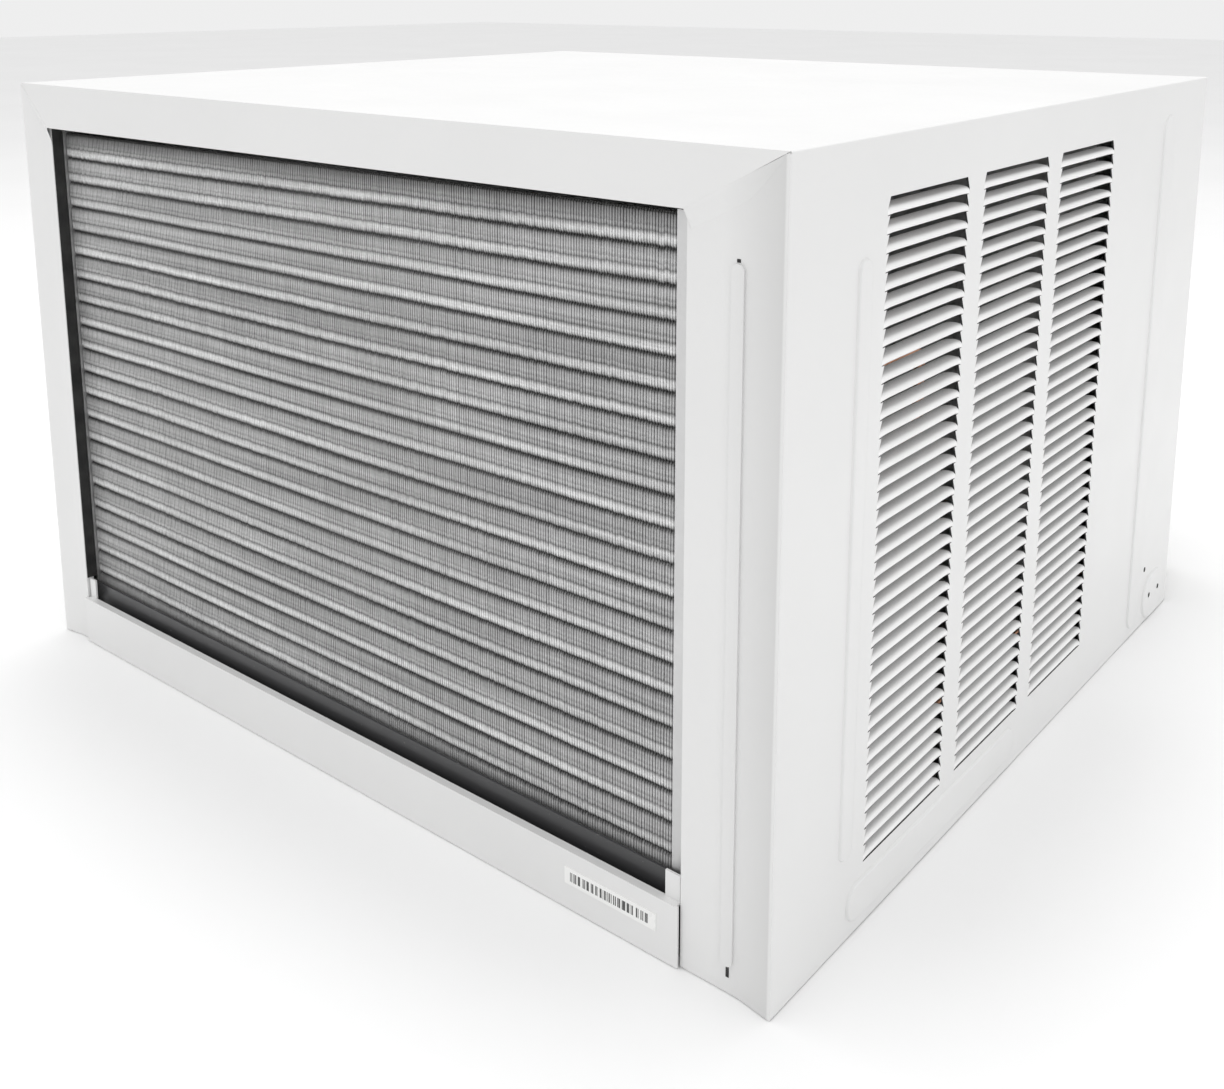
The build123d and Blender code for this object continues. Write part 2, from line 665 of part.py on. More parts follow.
with BuildPart() as compressor_shell:
    with BuildSketch(Plane((*COMP, 0), x_dir=(1, 0, 0), z_dir=(0, -1, 0))):
        with BuildLine():
            shell_low = COMP_BOTTOM + 2
            Polyline((0, shell_low), (COMP_R - 12, shell_low), (COMP_R, shell_low + 16))
            Line((COMP_R, shell_low + 16), (COMP_R, COMP_TOP - DOME))
            rim_angle = math.asin(COMP_R / DOME_RADIUS)
            halfway = (
                DOME_RADIUS * math.sin(rim_angle / 2),
                COMP_TOP - DOME_RADIUS * (1 - math.cos(rim_angle / 2)),
            )
            ThreePointArc((COMP_R, COMP_TOP - DOME), halfway, (0, COMP_TOP))
            Line((0, COMP_TOP), (0, shell_low))
        make_face()
    revolve(axis=Axis((*COMP, 0), (0, 0, 1)))
    with BuildSketch(Plane.XY.offset(COMP_BOTTOM)):
        with Locations(COMP):
            Circle(COMP_R - 14)
            with PolarLocations(FOOT_RADIUS / 2 + 14, 3, start_angle=30):
                SlotOverall(FOOT_RADIUS - 4, 34)
    extrude(amount=4)
    with Locations((*COMP, COMP_BOTTOM)):
        with PolarLocations(FOOT_RADIUS, 3, start_angle=30):
            Cylinder(5.2, 30, mode=Mode.SUBTRACT)
save(compressor_shell, "compressor_shell")

with BuildPart() as compressor_grommets:
    with BuildSketch(Plane.XY.offset(PAN_FLOOR)):
        with Locations(COMP):
            with PolarLocations(FOOT_RADIUS, 3, start_angle=30):
                Circle(13)
                Circle(5.2, mode=Mode.SUBTRACT)
    extrude(amount=COMP_BOTTOM - PAN_FLOOR)
save(compressor_grommets, "compressor_grommets")

with BuildPart() as compressor_studs:
    with Locations((*COMP, 0)):
        with PolarLocations(FOOT_RADIUS, 3, start_angle=30):
            with Locations((0, 0, (PAN_FLOOR + 40) / 2)):
                Cylinder(5.0, 40 - PAN_FLOOR)
            with Locations((0, 0, COMP_BOTTOM + 4 + 4)):
                Cylinder(8.5, 7)
save(compressor_studs, "compressor_studs")

with BuildPart() as terminal_cover:
    with BuildSketch(Plane.XY.offset(COMP_TOP + 0.3)):
        with Locations((COMP[0] + 12, COMP[1] + 12)):
            RectangleRounded(60, 46, 12)
    extrude(amount=24)
    fillet(terminal_cover.faces().sort_by(Axis.Z)[-1].edges(), radius=4)
save(terminal_cover, "terminal_cover")

ACC = (283.0, -8.0)
ACC_R = 25.0
ACC_Z = (90.0, 250.0)

with BuildPart() as accumulator:
    with Locations((*ACC, (ACC_Z[0] + ACC_Z[1]) / 2)):
        Cylinder(ACC_R, ACC_Z[1] - ACC_Z[0])
    fillet(accumulator.edges().filter_by(GeomType.CIRCLE), radius=14)
    # outlet stub into the compressor shell
    add(tube([(*ACC, ACC_Z[0] + 2), (*ACC, 62), (239, 14, 62)], 5, 14))
save(accumulator, "accumulator")

# refrigerant lines
with BuildPart() as discharge_line:
    add(
        tube(
            [
                (COMP[0] - 28, COMP[1] - 28, COMP_TOP - 12),
                (COMP[0] - 28, COMP[1] - 28, 411),
                (-296, COMP[1] - 28, 411),
                (-296, COND_COLUMNS_Y[0], 411),
                (-296, COND_COLUMNS_Y[0], row_height(COND_Z, COND_ROWS, COND_ROWS - 1)),
                (COND_OPEN_X, COND_COLUMNS_Y[0], row_height(COND_Z, COND_ROWS, COND_ROWS - 1)),
            ],
            4,
            10,
        )
    )
save(discharge_line, "discharge_line")

with BuildPart() as suction_line:
    add(
        tube(
            [
                (EVAP_OPEN_X, EVAP_COLUMNS_Y[1], SUCTION_Z),
                (SUCTION_X, EVAP_COLUMNS_Y[1], SUCTION_Z),
                (SUCTION_X, -48, SUCTION_Z),
                (SUCTION_X, -48, 275),
                (SUCTION_X, ACC[1], 275),
                (SUCTION_X, ACC[1], ACC_Z[1] - 1),
            ],
            5,
            13,
        )
    )
save(suction_line, "suction_line")

DRIER_Y = 150.0
DRIER_Z = (150.0, 250.0)

with BuildPart() as liquid_line:
    add(
        tube(
            [
                (COND_OPEN_X, COND_COLUMNS_Y[1], row_height(COND_Z, COND_ROWS, COND_ROWS - 1)),
                (DRIER_X, COND_COLUMNS_Y[1], row_height(COND_Z, COND_ROWS, COND_ROWS - 1)),
                (DRIER_X, COND_COLUMNS_Y[1], 300),
                (DRIER_X, DRIER_Y, 300),
                (DRIER_X, DRIER_Y, DRIER_Z[1] - 4),
            ],
            3.2,
            12,
        )
    )
    # filter drier at the end of the line
    with BuildSketch(Plane((DRIER_X, DRIER_Y, 0), x_dir=(1, 0, 0), z_dir=(0, -1, 0))):
        with BuildLine():
            Polyline(
                (0, DRIER_Z[0] - 8),
                (3.2, DRIER_Z[0] - 8),
                (3.2, DRIER_Z[0]),
                (10, DRIER_Z[0] + 10),
                (10, DRIER_Z[1] - 10),
                (3.2, DRIER_Z[1]),
                (3.2, DRIER_Z[1] + 2),
                (0, DRIER_Z[1] + 2),
                close=True,
            )
        make_face()
    revolve(axis=Axis((DRIER_X, DRIER_Y, 0), (0, 0, 1)))
save(liquid_line, "liquid_line")

with BuildPart() as capillary_tube:
    add(
        tube(
            [
                (DRIER_X, DRIER_Y, DRIER_Z[0] - 8),
                (DRIER_X, DRIER_Y, 60),
                (DRIER_X, -160, 60),
                (DRIER_X, -160, 13),
                (232, -160, 13),
                (232, EVAP_COLUMNS_Y[0], 13),
                (232, EVAP_COLUMNS_Y[0], SUCTION_Z),
                (EVAP_OPEN_X, EVAP_COLUMNS_Y[0], SUCTION_Z),
            ],
            1.6,
            8,
        )
    )
save(capillary_tube, "capillary_tube")

# ------------------------------------------------------------- room-side front
FRONT_FLANGE = 4.0
FRONT_WALL = 2.8
FRAME_INSET = 4.0
FACE_INSET = 28.0
BLADE_OPENING_X = (-292.0, 182.0)
BLADE_OPENING_Z = (316.0, 410.0)
GRILLE_OPENING_X = (-290.0, 180.0)
GRILLE_OPENING_Z = (21.5, 305.0)
CONTROL_X = (202.0, 290.0)
CONTROL_Z = (24.0, 404.0)
FILTER_Y = (-283.0, -279.0)
FILTER_Z = (18.5, 300.5)
HINGE_Y = -331.0
HINGE_Z = 30.0
GLAND = (250.0, -296.0)


def front_hood(back_y, back_inset, face_y, face_inset):
    """A tapered block from an outline near the cabinet to a smaller one by the room."""
    with BuildPart() as hood:
        for y, inset, radius in ((back_y, back_inset, 8), (face_y, face_inset, 10)):
            with BuildSketch(Plane.XZ.offset(-y)):
                with Locations((0, HEIGHT / 2)):
                    low_inset = inset * 0.4
                    RectangleRounded(WIDTH - 2 * inset, HEIGHT - 2 * low_inset, radius)
        loft()
    return hood.part


with BuildPart() as front_frame:
    with BuildSketch(Plane.XZ.offset(-Y_MOUTH)):
        with Locations((0, HEIGHT / 2)):
            RectangleRounded(WIDTH - 2 * FRAME_INSET, HEIGHT - 0.8 * FRAME_INSET, 8)
    extrude(amount=FRONT_FLANGE)
    add(front_hood(Y_MOUTH - FRONT_FLANGE, FRAME_INSET, Y_FRONT, FACE_INSET))
    add(
        front_hood(Y_MOUTH, FRAME_INSET + 4, Y_FRONT + FRONT_WALL, FACE_INSET + 3),
        mode=Mode.SUBTRACT,
    )
    for open_x, open_z in (
        (BLADE_OPENING_X, BLADE_OPENING_Z),
        (GRILLE_OPENING_X, GRILLE_OPENING_Z),
        (CONTROL_X, CONTROL_Z),
    ):
        spanned_box(open_x, (Y_FRONT - 5, Y_FRONT + 10), open_z, mode=Mode.SUBTRACT)
    # divider between the air side and the controls
    spanned_box((190.0, 193.0), (Y_FRONT + 1, Y_MOUTH), (14, 310))
    # channels that guide the air filter
    rail_y = (FILTER_Y[0] - 3.5, FILTER_Y[1] + 3.5)
    groove_y = (FILTER_Y[0] - 0.5, FILTER_Y[1] + 0.5)
    spanned_box((-298, 190.5), rail_y, (5.5, 23))
    spanned_box((-340, 188.5), groove_y, (FILTER_Z[0] - 0.5, FILTER_Z[1] + 0.5), mode=Mode.SUBTRACT)
    spanned_box((-317, 190.5), rail_y, (296, 306))
    spanned_box((-340, 188.5), groove_y, (FILTER_Z[0] - 0.5, FILTER_Z[1] + 0.5), mode=Mode.SUBTRACT)
    # lugs that carry the hinge pins of the grille
    spanned_box((-301, -290.5), (-334, -325), (14, 36))
    spanned_box((180.5, 190.5), (-334, -325), (14, 36))
    with Locations(Plane((0, HINGE_Y, HINGE_Z), z_dir=(1, 0, 0))):
        Cylinder(2.06, 2 * 296.5, mode=Mode.SUBTRACT)
    with Locations((*GLAND, 5)):
        Cylinder(9.05, 30, mode=Mode.SUBTRACT)
save(front_frame, "front_frame")

# bushing for the supply cord
with BuildPart() as cord_gland:
    with Locations((*GLAND, 11)):
        Cylinder(9, 16)
    with Locations((*GLAND, 2.3)):
        Cylinder(12, 3.0)
    with Locations((*GLAND, 10)):
        Cylinder(4.8, 40, mode=Mode.SUBTRACT)
save(cord_gland, "cord_gland")

# duct from the plenum to the louvers, with bearings for blades and vanes
BLADES = 3
BLADE_CHORD = 27.0
BLADE_Y = Y_FRONT + 16.5
BLADE_PITCH = (BLADE_OPENING_Z[1] - BLADE_OPENING_Z[0]) / BLADES
BLADE_HEIGHTS = [BLADE_OPENING_Z[0] + BLADE_PITCH * (i + 0.5) for i in range(BLADES)]
VANES = 6
VANE_CHORD = 36.0
VANE_Y = -279.0
VANE_PITCH = (BLADE_OPENING_X[1] - BLADE_OPENING_X[0]) / VANES
VANE_XS = [BLADE_OPENING_X[0] + VANE_PITCH * (i + 0.5) for i in range(VANES)]
LINK_Y = VANE_Y + 13.0
LINK_Z = (403.5, 406.5)
PIN_R = 1.6
PIN_GAP = 0.06
DUCT_WALL = 2.5
DUCT_Y = (Y_FRONT + 4, SCROLL_Y[0] - 0.3)

with BuildPart() as discharge_duct:
    outer_x = (BLADE_OPENING_X[0] - DUCT_WALL, BLADE_OPENING_X[1] + DUCT_WALL)
    outer_z = (BLADE_OPENING_Z[0] - DUCT_WALL, BLADE_OPENING_Z[1] + DUCT_WALL)
    spanned_box(outer_x, DUCT_Y, outer_z)
    spanned_box(BLADE_OPENING_X, (-400, 0), BLADE_OPENING_Z, mode=Mode.SUBTRACT)
    with Locations(*[Plane((0, BLADE_Y, z), z_dir=(1, 0, 0)) for z in BLADE_HEIGHTS]):
        Cylinder(PIN_R + PIN_GAP, WIDTH, mode=Mode.SUBTRACT)
    with Locations(*[(x, VANE_Y, 0) for x in VANE_XS]):
        Cylinder(PIN_R + PIN_GAP, 2 * HEIGHT, mode=Mode.SUBTRACT)
save(discharge_duct, "discharge_duct")


def louver(z, name):
    """A horizontal louver blade of lens section, with a pin at each end."""
    with BuildPart() as blade:
        with BuildSketch(Plane.YZ.offset(BLADE_OPENING_X[0] + 1)):
            with BuildLine():
                nose = (BLADE_Y - BLADE_CHORD / 2, z)
                tail = (BLADE_Y + BLADE_CHORD / 2, z)
                ThreePointArc(nose, (BLADE_Y, z + 2.1), tail)
                ThreePointArc(tail, (BLADE_Y, z - 2.1), nose)
            make_face()
        extrude(amount=BLADE_OPENING_X[1] - BLADE_OPENING_X[0] - 2)
        with Locations(Plane(((BLADE_OPENING_X[0] + BLADE_OPENING_X[1]) / 2, BLADE_Y, z), z_dir=(1, 0, 0))):
            Cylinder(PIN_R, BLADE_OPENING_X[1] - BLADE_OPENING_X[0] + 2 * DUCT_WALL)
    save(blade, name)


for index, blade_z in enumerate(BLADE_HEIGHTS):
    louver(blade_z, f"louver_blade_{index + 1}")


def vane(x, name):
    """A vertical vane on a pin, with a peg for the link bar."""
    low = BLADE_OPENING_Z[0] + 2
    with BuildPart() as plate:
        chord = (VANE_Y - VANE_CHORD / 2, VANE_Y + VANE_CHORD / 2)
        spanned_box((x - 0.9, x + 0.9), chord, (low, LINK_Z[0] - 1))
        fillet(plate.edges().filter_by(Axis.X), radius=5)
        with Locations((x, VANE_Y, (BLADE_OPENING_Z[0] + BLADE_OPENING_Z[1]) / 2)):
            Cylinder(PIN_R, BLADE_OPENING_Z[1] - BLADE_OPENING_Z[0] + 2 * DUCT_WALL)
        with Locations((x, LINK_Y, LINK_Z[1] - 5)):
            Cylinder(1.5, 10)
    save(plate, name)


for index, vane_x in enumerate(VANE_XS):
    vane(vane_x, f"vertical_vane_{index + 1}")

with BuildPart() as vane_link:
    spanned_box((VANE_XS[0] - 8, VANE_XS[-1] + 8), (LINK_Y - 6, LINK_Y + 4.5), LINK_Z)
    with BuildSketch(Plane.XY.offset(LINK_Z[0] - 1)):
        with Locations(*[(x, LINK_Y - 0.9) for x in VANE_XS]):
            SlotOverall(7.4, 4.2, rotation=90)
    extrude(amount=6, mode=Mode.SUBTRACT)
save(vane_link, "vane_link")

# intake grille, hinged along its lower edge
GRILLE_GAP = 2.0
GRILLE_THICK = 3.5
SLAT_ROWS = 22
SLAT_PITCH = 11.2

with BuildPart() as intake_grille:
    with BuildSketch(Plane.XZ.offset(-Y_FRONT - GRILLE_THICK)):
        grille_x = (GRILLE_OPENING_X[0] + GRILLE_GAP, GRILLE_OPENING_X[1] - GRILLE_GAP)
        grille_z = (25.0, GRILLE_OPENING_Z[1] - GRILLE_GAP)
        spanned_rectangle(grille_x, grille_z)
        with Locations(((grille_x[0] + grille_x[1]) / 2, (grille_z[0] + grille_z[1]) / 2 + 4)):
            with GridLocations(149, SLAT_PITCH, 3, SLAT_ROWS):
                Rectangle(140, 7.2, mode=Mode.SUBTRACT)
    extrude(amount=GRILLE_THICK)
    with Locations(Plane(((grille_x[0] + grille_x[1]) / 2, HINGE_Y, HINGE_Z), z_dir=(1, 0, 0))):
        Cylinder(3.2, grille_x[1] - grille_x[0])
    with Locations(Plane(((grille_x[0] + grille_x[1]) / 2, HINGE_Y, HINGE_Z), z_dir=(1, 0, 0))):
        Cylinder(2.0, grille_x[1] - grille_x[0] + 12)
save(intake_grille, "intake_grille")

# air filter: a plastic frame with cross ribs and a thin mesh
with BuildPart() as air_filter:
    filter_x = (-315.0, 187.0)
    spanned_box(filter_x, FILTER_Y, FILTER_Z)
    with BuildSketch(Plane.XZ.offset(-FILTER_Y[1])):
        with Locations(((filter_x[0] + filter_x[1]) / 2, (FILTER_Z[0] + FILTER_Z[1]) / 2)):
            with GridLocations(98.5, 90.5, 5, 3):
                Rectangle(92, 84)
    extrude(amount=1.6, mode=Mode.SUBTRACT)
    with BuildSketch(Plane.XZ.offset(-FILTER_Y[0])):
        with Locations(((filter_x[0] + filter_x[1]) / 2, (FILTER_Z[0] + FILTER_Z[1]) / 2)):
            with GridLocations(98.5, 90.5, 5, 3):
                Rectangle(92, 84)
    extrude(amount=-1.6, mode=Mode.SUBTRACT)
    # grip at the open end of the channels
    spanned_box((-322, filter_x[0]), FILTER_Y, (130, 190))
save(air_filter, "air_filter")

# ---------------------------------------------------------------------- controls
PANEL_Y = (Y_FRONT + 18.0, Y_FRONT + 21.0)
KNOB_X = 246.0
MODE_Z = 320.0
THERMO_Z = 220.0
LEVER_Z = 110.0
LEVER_TRAVEL = 20.0
KNOB_R = 24.0
STEM_R = 4.0

with BuildPart() as control_panel:
    spanned_box((CONTROL_X[0] - 6, CONTROL_X[1] + 2), PANEL_Y, (CONTROL_Z[0] - 4, CONTROL_Z[1] + 4))
    with Locations(*[Plane((KNOB_X, PANEL_Y[0], z), z_dir=(0, 1, 0)) for z in (MODE_Z, THERMO_Z)]):
        Cylinder(8.0, 20, mode=Mode.SUBTRACT)
    with BuildSketch(Plane.XZ.offset(-PANEL_Y[1])):
        with Locations((KNOB_X, LEVER_Z + LEVER_TRAVEL / 2)):
            SlotOverall(LEVER_TRAVEL + 14, 7, rotation=90)
    extrude(amount=10, mode=Mode.SUBTRACT)
    # walls that join the panel to the frame
    spanned_box((CONTROL_X[0] - 6, CONTROL_X[0] - 4), (Y_FRONT + 3.2, PANEL_Y[0]), CONTROL_Z)
save(control_panel, "control_panel")


def rotary_body(z, size, depth, name):
    """Body of a rotary control, bored for the stem of its knob."""
    with BuildPart() as body:
        front = PANEL_Y[1]
        across = (KNOB_X - size / 2, KNOB_X + size / 2)
        spanned_box(across, (front, front + depth), (z - size / 2, z + size / 2))
        fillet(body.edges().filter_by(Axis.Y), radius=4)
        with Locations(Plane((KNOB_X, front - 1.6, z), z_dir=(0, 1, 0))):
            Cylinder(7.8, 3.2)
        with Locations(Plane((KNOB_X, front, z), z_dir=(0, 1, 0))):
            Cylinder(STEM_R + 0.05, 24, mode=Mode.SUBTRACT)
    save(body, name)


rotary_body(MODE_Z, 44, 26, "selector_switch")
rotary_body(THERMO_Z, 40, 30, "thermostat")


def knob(z, name):
    """A round knob with a grip bar and a stem."""
    with BuildPart() as knob_part:
        face = Y_FRONT + 1
        base = PANEL_Y[0] - 0.6
        with Locations(Plane((KNOB_X, (base + face + 6) / 2, z), z_dir=(0, 1, 0))):
            Cylinder(KNOB_R, base - face - 6)
        fillet(knob_part.edges().filter_by(GeomType.CIRCLE).sort_by(Axis.Y)[0], radius=2)
        with BuildSketch(Plane.XZ.offset(-(face + 6))):
            with Locations((KNOB_X, z)):
                SlotOverall(2 * KNOB_R - 4, 9, rotation=90)
        extrude(amount=6, taper=6)
        with Locations(Plane((KNOB_X, (base + PANEL_Y[1] + 10) / 2, z), z_dir=(0, 1, 0))):
            Cylinder(STEM_R, PANEL_Y[1] + 10 - base)
    save(knob_part, name)


knob(MODE_Z, "mode_knob")
knob(THERMO_Z, "thermostat_knob")

with BuildPart() as vent_lever:
    spanned_box((KNOB_X - 2.5, KNOB_X + 2.5), (PANEL_Y[0] - 12, PANEL_Y[1] + 1), (LEVER_Z - 4, LEVER_Z + 4))
    spanned_box((KNOB_X - 9, KNOB_X + 9), (PANEL_Y[1] + 0.5, PANEL_Y[1] + 3.5), (LEVER_Z - 14, LEVER_Z + 14))
    fillet(vent_lever.edges().filter_by(Axis.X).sort_by(Axis.Y)[0:2], radius=3)
save(vent_lever, "vent_lever")

BOX_X = (214.0, 312.0)
BOX_Y = (-256.0, -112.0)
BOX_Z = (110.0, 400.0)

with BuildPart() as control_box:
    spanned_box(BOX_X, BOX_Y, BOX_Z)
    spanned_box(
        (BOX_X[0] + SHEET, BOX_X[1] - SHEET),
        (BOX_Y[0] - 5, BOX_Y[1] - SHEET),
        (BOX_Z[0] + SHEET, BOX_Z[1] - SHEET),
        mode=Mode.SUBTRACT,
    )
save(control_box, "control_box")

with BuildPart() as run_capacitor:
    with Locations((262, -170, BOX_Z[0] + SHEET + 50)):
        Cylinder(24, 100)
    fillet(run_capacitor.edges().filter_by(GeomType.CIRCLE), radius=3)
    with BuildSketch(Plane.XY.offset(BOX_Z[0] + SHEET + 100)):
        with Locations((262, -170)):
            with GridLocations(18, 1, 2, 1):
                Rectangle(1.6, 8)
    extrude(amount=9)
save(run_capacitor, "run_capacitor")
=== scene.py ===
"""Looks of the window air conditioner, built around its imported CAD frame."""

import json
import math

import bmesh
import bpy
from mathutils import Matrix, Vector


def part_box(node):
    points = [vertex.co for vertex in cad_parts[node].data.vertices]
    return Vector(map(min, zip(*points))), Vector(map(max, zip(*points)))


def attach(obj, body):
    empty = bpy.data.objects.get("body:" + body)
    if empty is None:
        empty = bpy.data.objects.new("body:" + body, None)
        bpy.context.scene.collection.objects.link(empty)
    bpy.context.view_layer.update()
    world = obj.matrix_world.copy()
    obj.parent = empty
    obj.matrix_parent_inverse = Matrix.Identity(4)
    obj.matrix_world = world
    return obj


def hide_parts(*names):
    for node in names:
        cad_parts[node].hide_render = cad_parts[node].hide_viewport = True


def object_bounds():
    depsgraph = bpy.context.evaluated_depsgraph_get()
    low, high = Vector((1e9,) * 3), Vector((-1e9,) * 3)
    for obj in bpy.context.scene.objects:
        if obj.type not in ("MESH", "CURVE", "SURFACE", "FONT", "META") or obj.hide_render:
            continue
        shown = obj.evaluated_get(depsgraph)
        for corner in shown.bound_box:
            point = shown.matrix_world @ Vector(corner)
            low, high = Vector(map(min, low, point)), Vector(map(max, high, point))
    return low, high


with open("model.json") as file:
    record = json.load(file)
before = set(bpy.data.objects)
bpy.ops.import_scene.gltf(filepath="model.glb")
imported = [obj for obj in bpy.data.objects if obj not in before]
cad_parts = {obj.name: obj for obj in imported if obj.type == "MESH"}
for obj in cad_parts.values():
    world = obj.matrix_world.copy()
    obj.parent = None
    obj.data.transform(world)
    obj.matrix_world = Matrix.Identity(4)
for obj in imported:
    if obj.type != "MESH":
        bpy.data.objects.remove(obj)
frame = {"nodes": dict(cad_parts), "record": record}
CAD_LOW, CAD_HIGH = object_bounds()

MM = 0.001
SIDES = ((-1, "right"), (1, "left"))  # as seen from outdoors

# ----------------------------------------------------------------- dimensions
# the louvered side sheets
SIDE_LOW, SIDE_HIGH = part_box("cabinet_side_right")
REAR_Y = CAD_HIGH[1]
MOUTH_Y = SIDE_LOW[1]
TOP_Z = SIDE_HIGH[2]
RIB = 1.5 * MM  # height of the pressed ribs
OUTER_X = -SIDE_LOW[0] - RIB  # distance of the sheet's outer face from the middle
SIDE_THICKNESS = 0.9 * MM
BLADE_THICKNESS = 0.7 * MM

COLUMNS = 3
ROWS = 38
LOUVER_LENGTH = 92 * MM
COLUMN_PITCH = 110.8 * MM
ROW_PITCH = 9.51 * MM
SLOT = 6.2 * MM
STRIP = ROW_PITCH - SLOT
MIDDLE_Y = REAR_Y - 247.6 * MM
MIDDLE_Z = 220 * MM
COLUMN_Y = [MIDDLE_Y + (column - 1) * COLUMN_PITCH for column in range(COLUMNS)]
SLOT_LOW = MIDDLE_Z - (ROWS - 1) / 2 * ROW_PITCH - SLOT / 2
SLOT_HIGH = SLOT_LOW + ROWS * ROW_PITCH - STRIP
SLOT_SLANT = 2.6 * MM  # how far the sheet reaches in at each top corner of a slot

LIP = 1.6 * MM  # the part of a strip that its blade takes up
STRIP_DISH = 0.7 * MM  # inward curl along the lower edge of a strip
STRIP_LIFT = 0.5 * MM
BLADE_IN = 6.4 * MM
BLADE_RISE = 2.2 * MM
BLADE_BEND = math.radians(76)
BEND_RADIUS = 2.6 * MM
BEND_SHARE = 0.45  # share of a blade's width that lies in its bend
BLADE_LEAST = 0.16  # share of a blade's width left at its ends
CORNER = 11 * MM  # how far from each end a blade is rounded off

# inset from the rim of a pressed rib, and its height there, in mm
RIB_SHOULDER = ((0.0, 0.0), (0.2, 0.3), (0.6, 1.0), (1.1, 1.4), (1.8, 1.5))
# distance from the rear edge, height, length and width in mm, and whether upright
RIBS = (
    (70, 211, 322, 13, True),
    (181.5, 18.5, 217, 22, False),
    (517.5, 207, 400, 24, True),
    (563.5, 20, 47, 38, False),
)
# Y, Z and distance from the middle of the fixing holes, in mm
HOLES = ((-205.7, 47, 328.55), (-238, 22, 330.0), (-217, 22, 330.0))
HOLE_RADIUS = 2.1 * MM
HOLE_DEPTH = 0.4 * MM

# the rear frame
OPEN_X = (-271.7 * MM, 296.7 * MM)
OPEN_Z = (35.5 * MM, 399 * MM)
MITRE_X = 328.3 * MM  # outer end of the mitres
MITRE_PER_DEPTH = 3.6  # height of the mitre's slope over its depth
MITRE_LEAST = 1.0 * MM
MITRE_ABOVE = 0.7 * MM  # how far the slope starts above the mitre
MITRE_PROUD = 0.03 * MM
MITRE_SUNK = 0.01 * MM
FLANGE_SHADE_X = (-0.292, -0.3285)  # X over which painted shade darkens the flange at -X towards its outer edge
FLANGE_HIGHLIGHT_X = (-0.3262, -0.3272)  # X over which that painted shade gives way to a painted highlight along the outer rim
# opposite corners, in mm
SLITS = (
    ((-302.2, 332.9, 9), (-300.4, 333.3, 17)),
    ((-301.9, 332.9, 377), (-299.9, 333.2, 378.6)),
)
# a black strip over the lip beside the coil at +X: painted shade in the gap there
COIL_GAP_SHADE = ((295.9, 325.0, 51), (296.6, 332.6, 398))

# the coils
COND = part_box("condenser_fins")
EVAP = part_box("evaporator_fins")
FIN_ROW = 0.018  # tube pitch of both coils
FIN_SHARES = (0.0, 0.09, 0.55, 0.93)  # places on a row where a fin edge is bent
FIN_ROOT = 0.0002  # how deep a fin is set into the core
# share of a row and how far the edge stands proud there, 0 in the row's groove
FIN_STOPS = (
    (0.0, 0.0), (0.06, 0.2), (0.12, 1.0), (0.54, 0.92),
    (0.585, 0.6), (0.63, 0.9), (0.92, 0.9), (1.0, 0.0),
)

# marks round the knobs: height in mm, first and last angle, number of marks
DIALS = ((320, 0, 180, 7), (220, -135, 135, 11))
DIAL_X = 246 * MM
DIAL_RADIUS = 28 * MM
DIAL_FRONT_Y = -318.2 * MM
DIAL_BACK_Y = -317.9 * MM


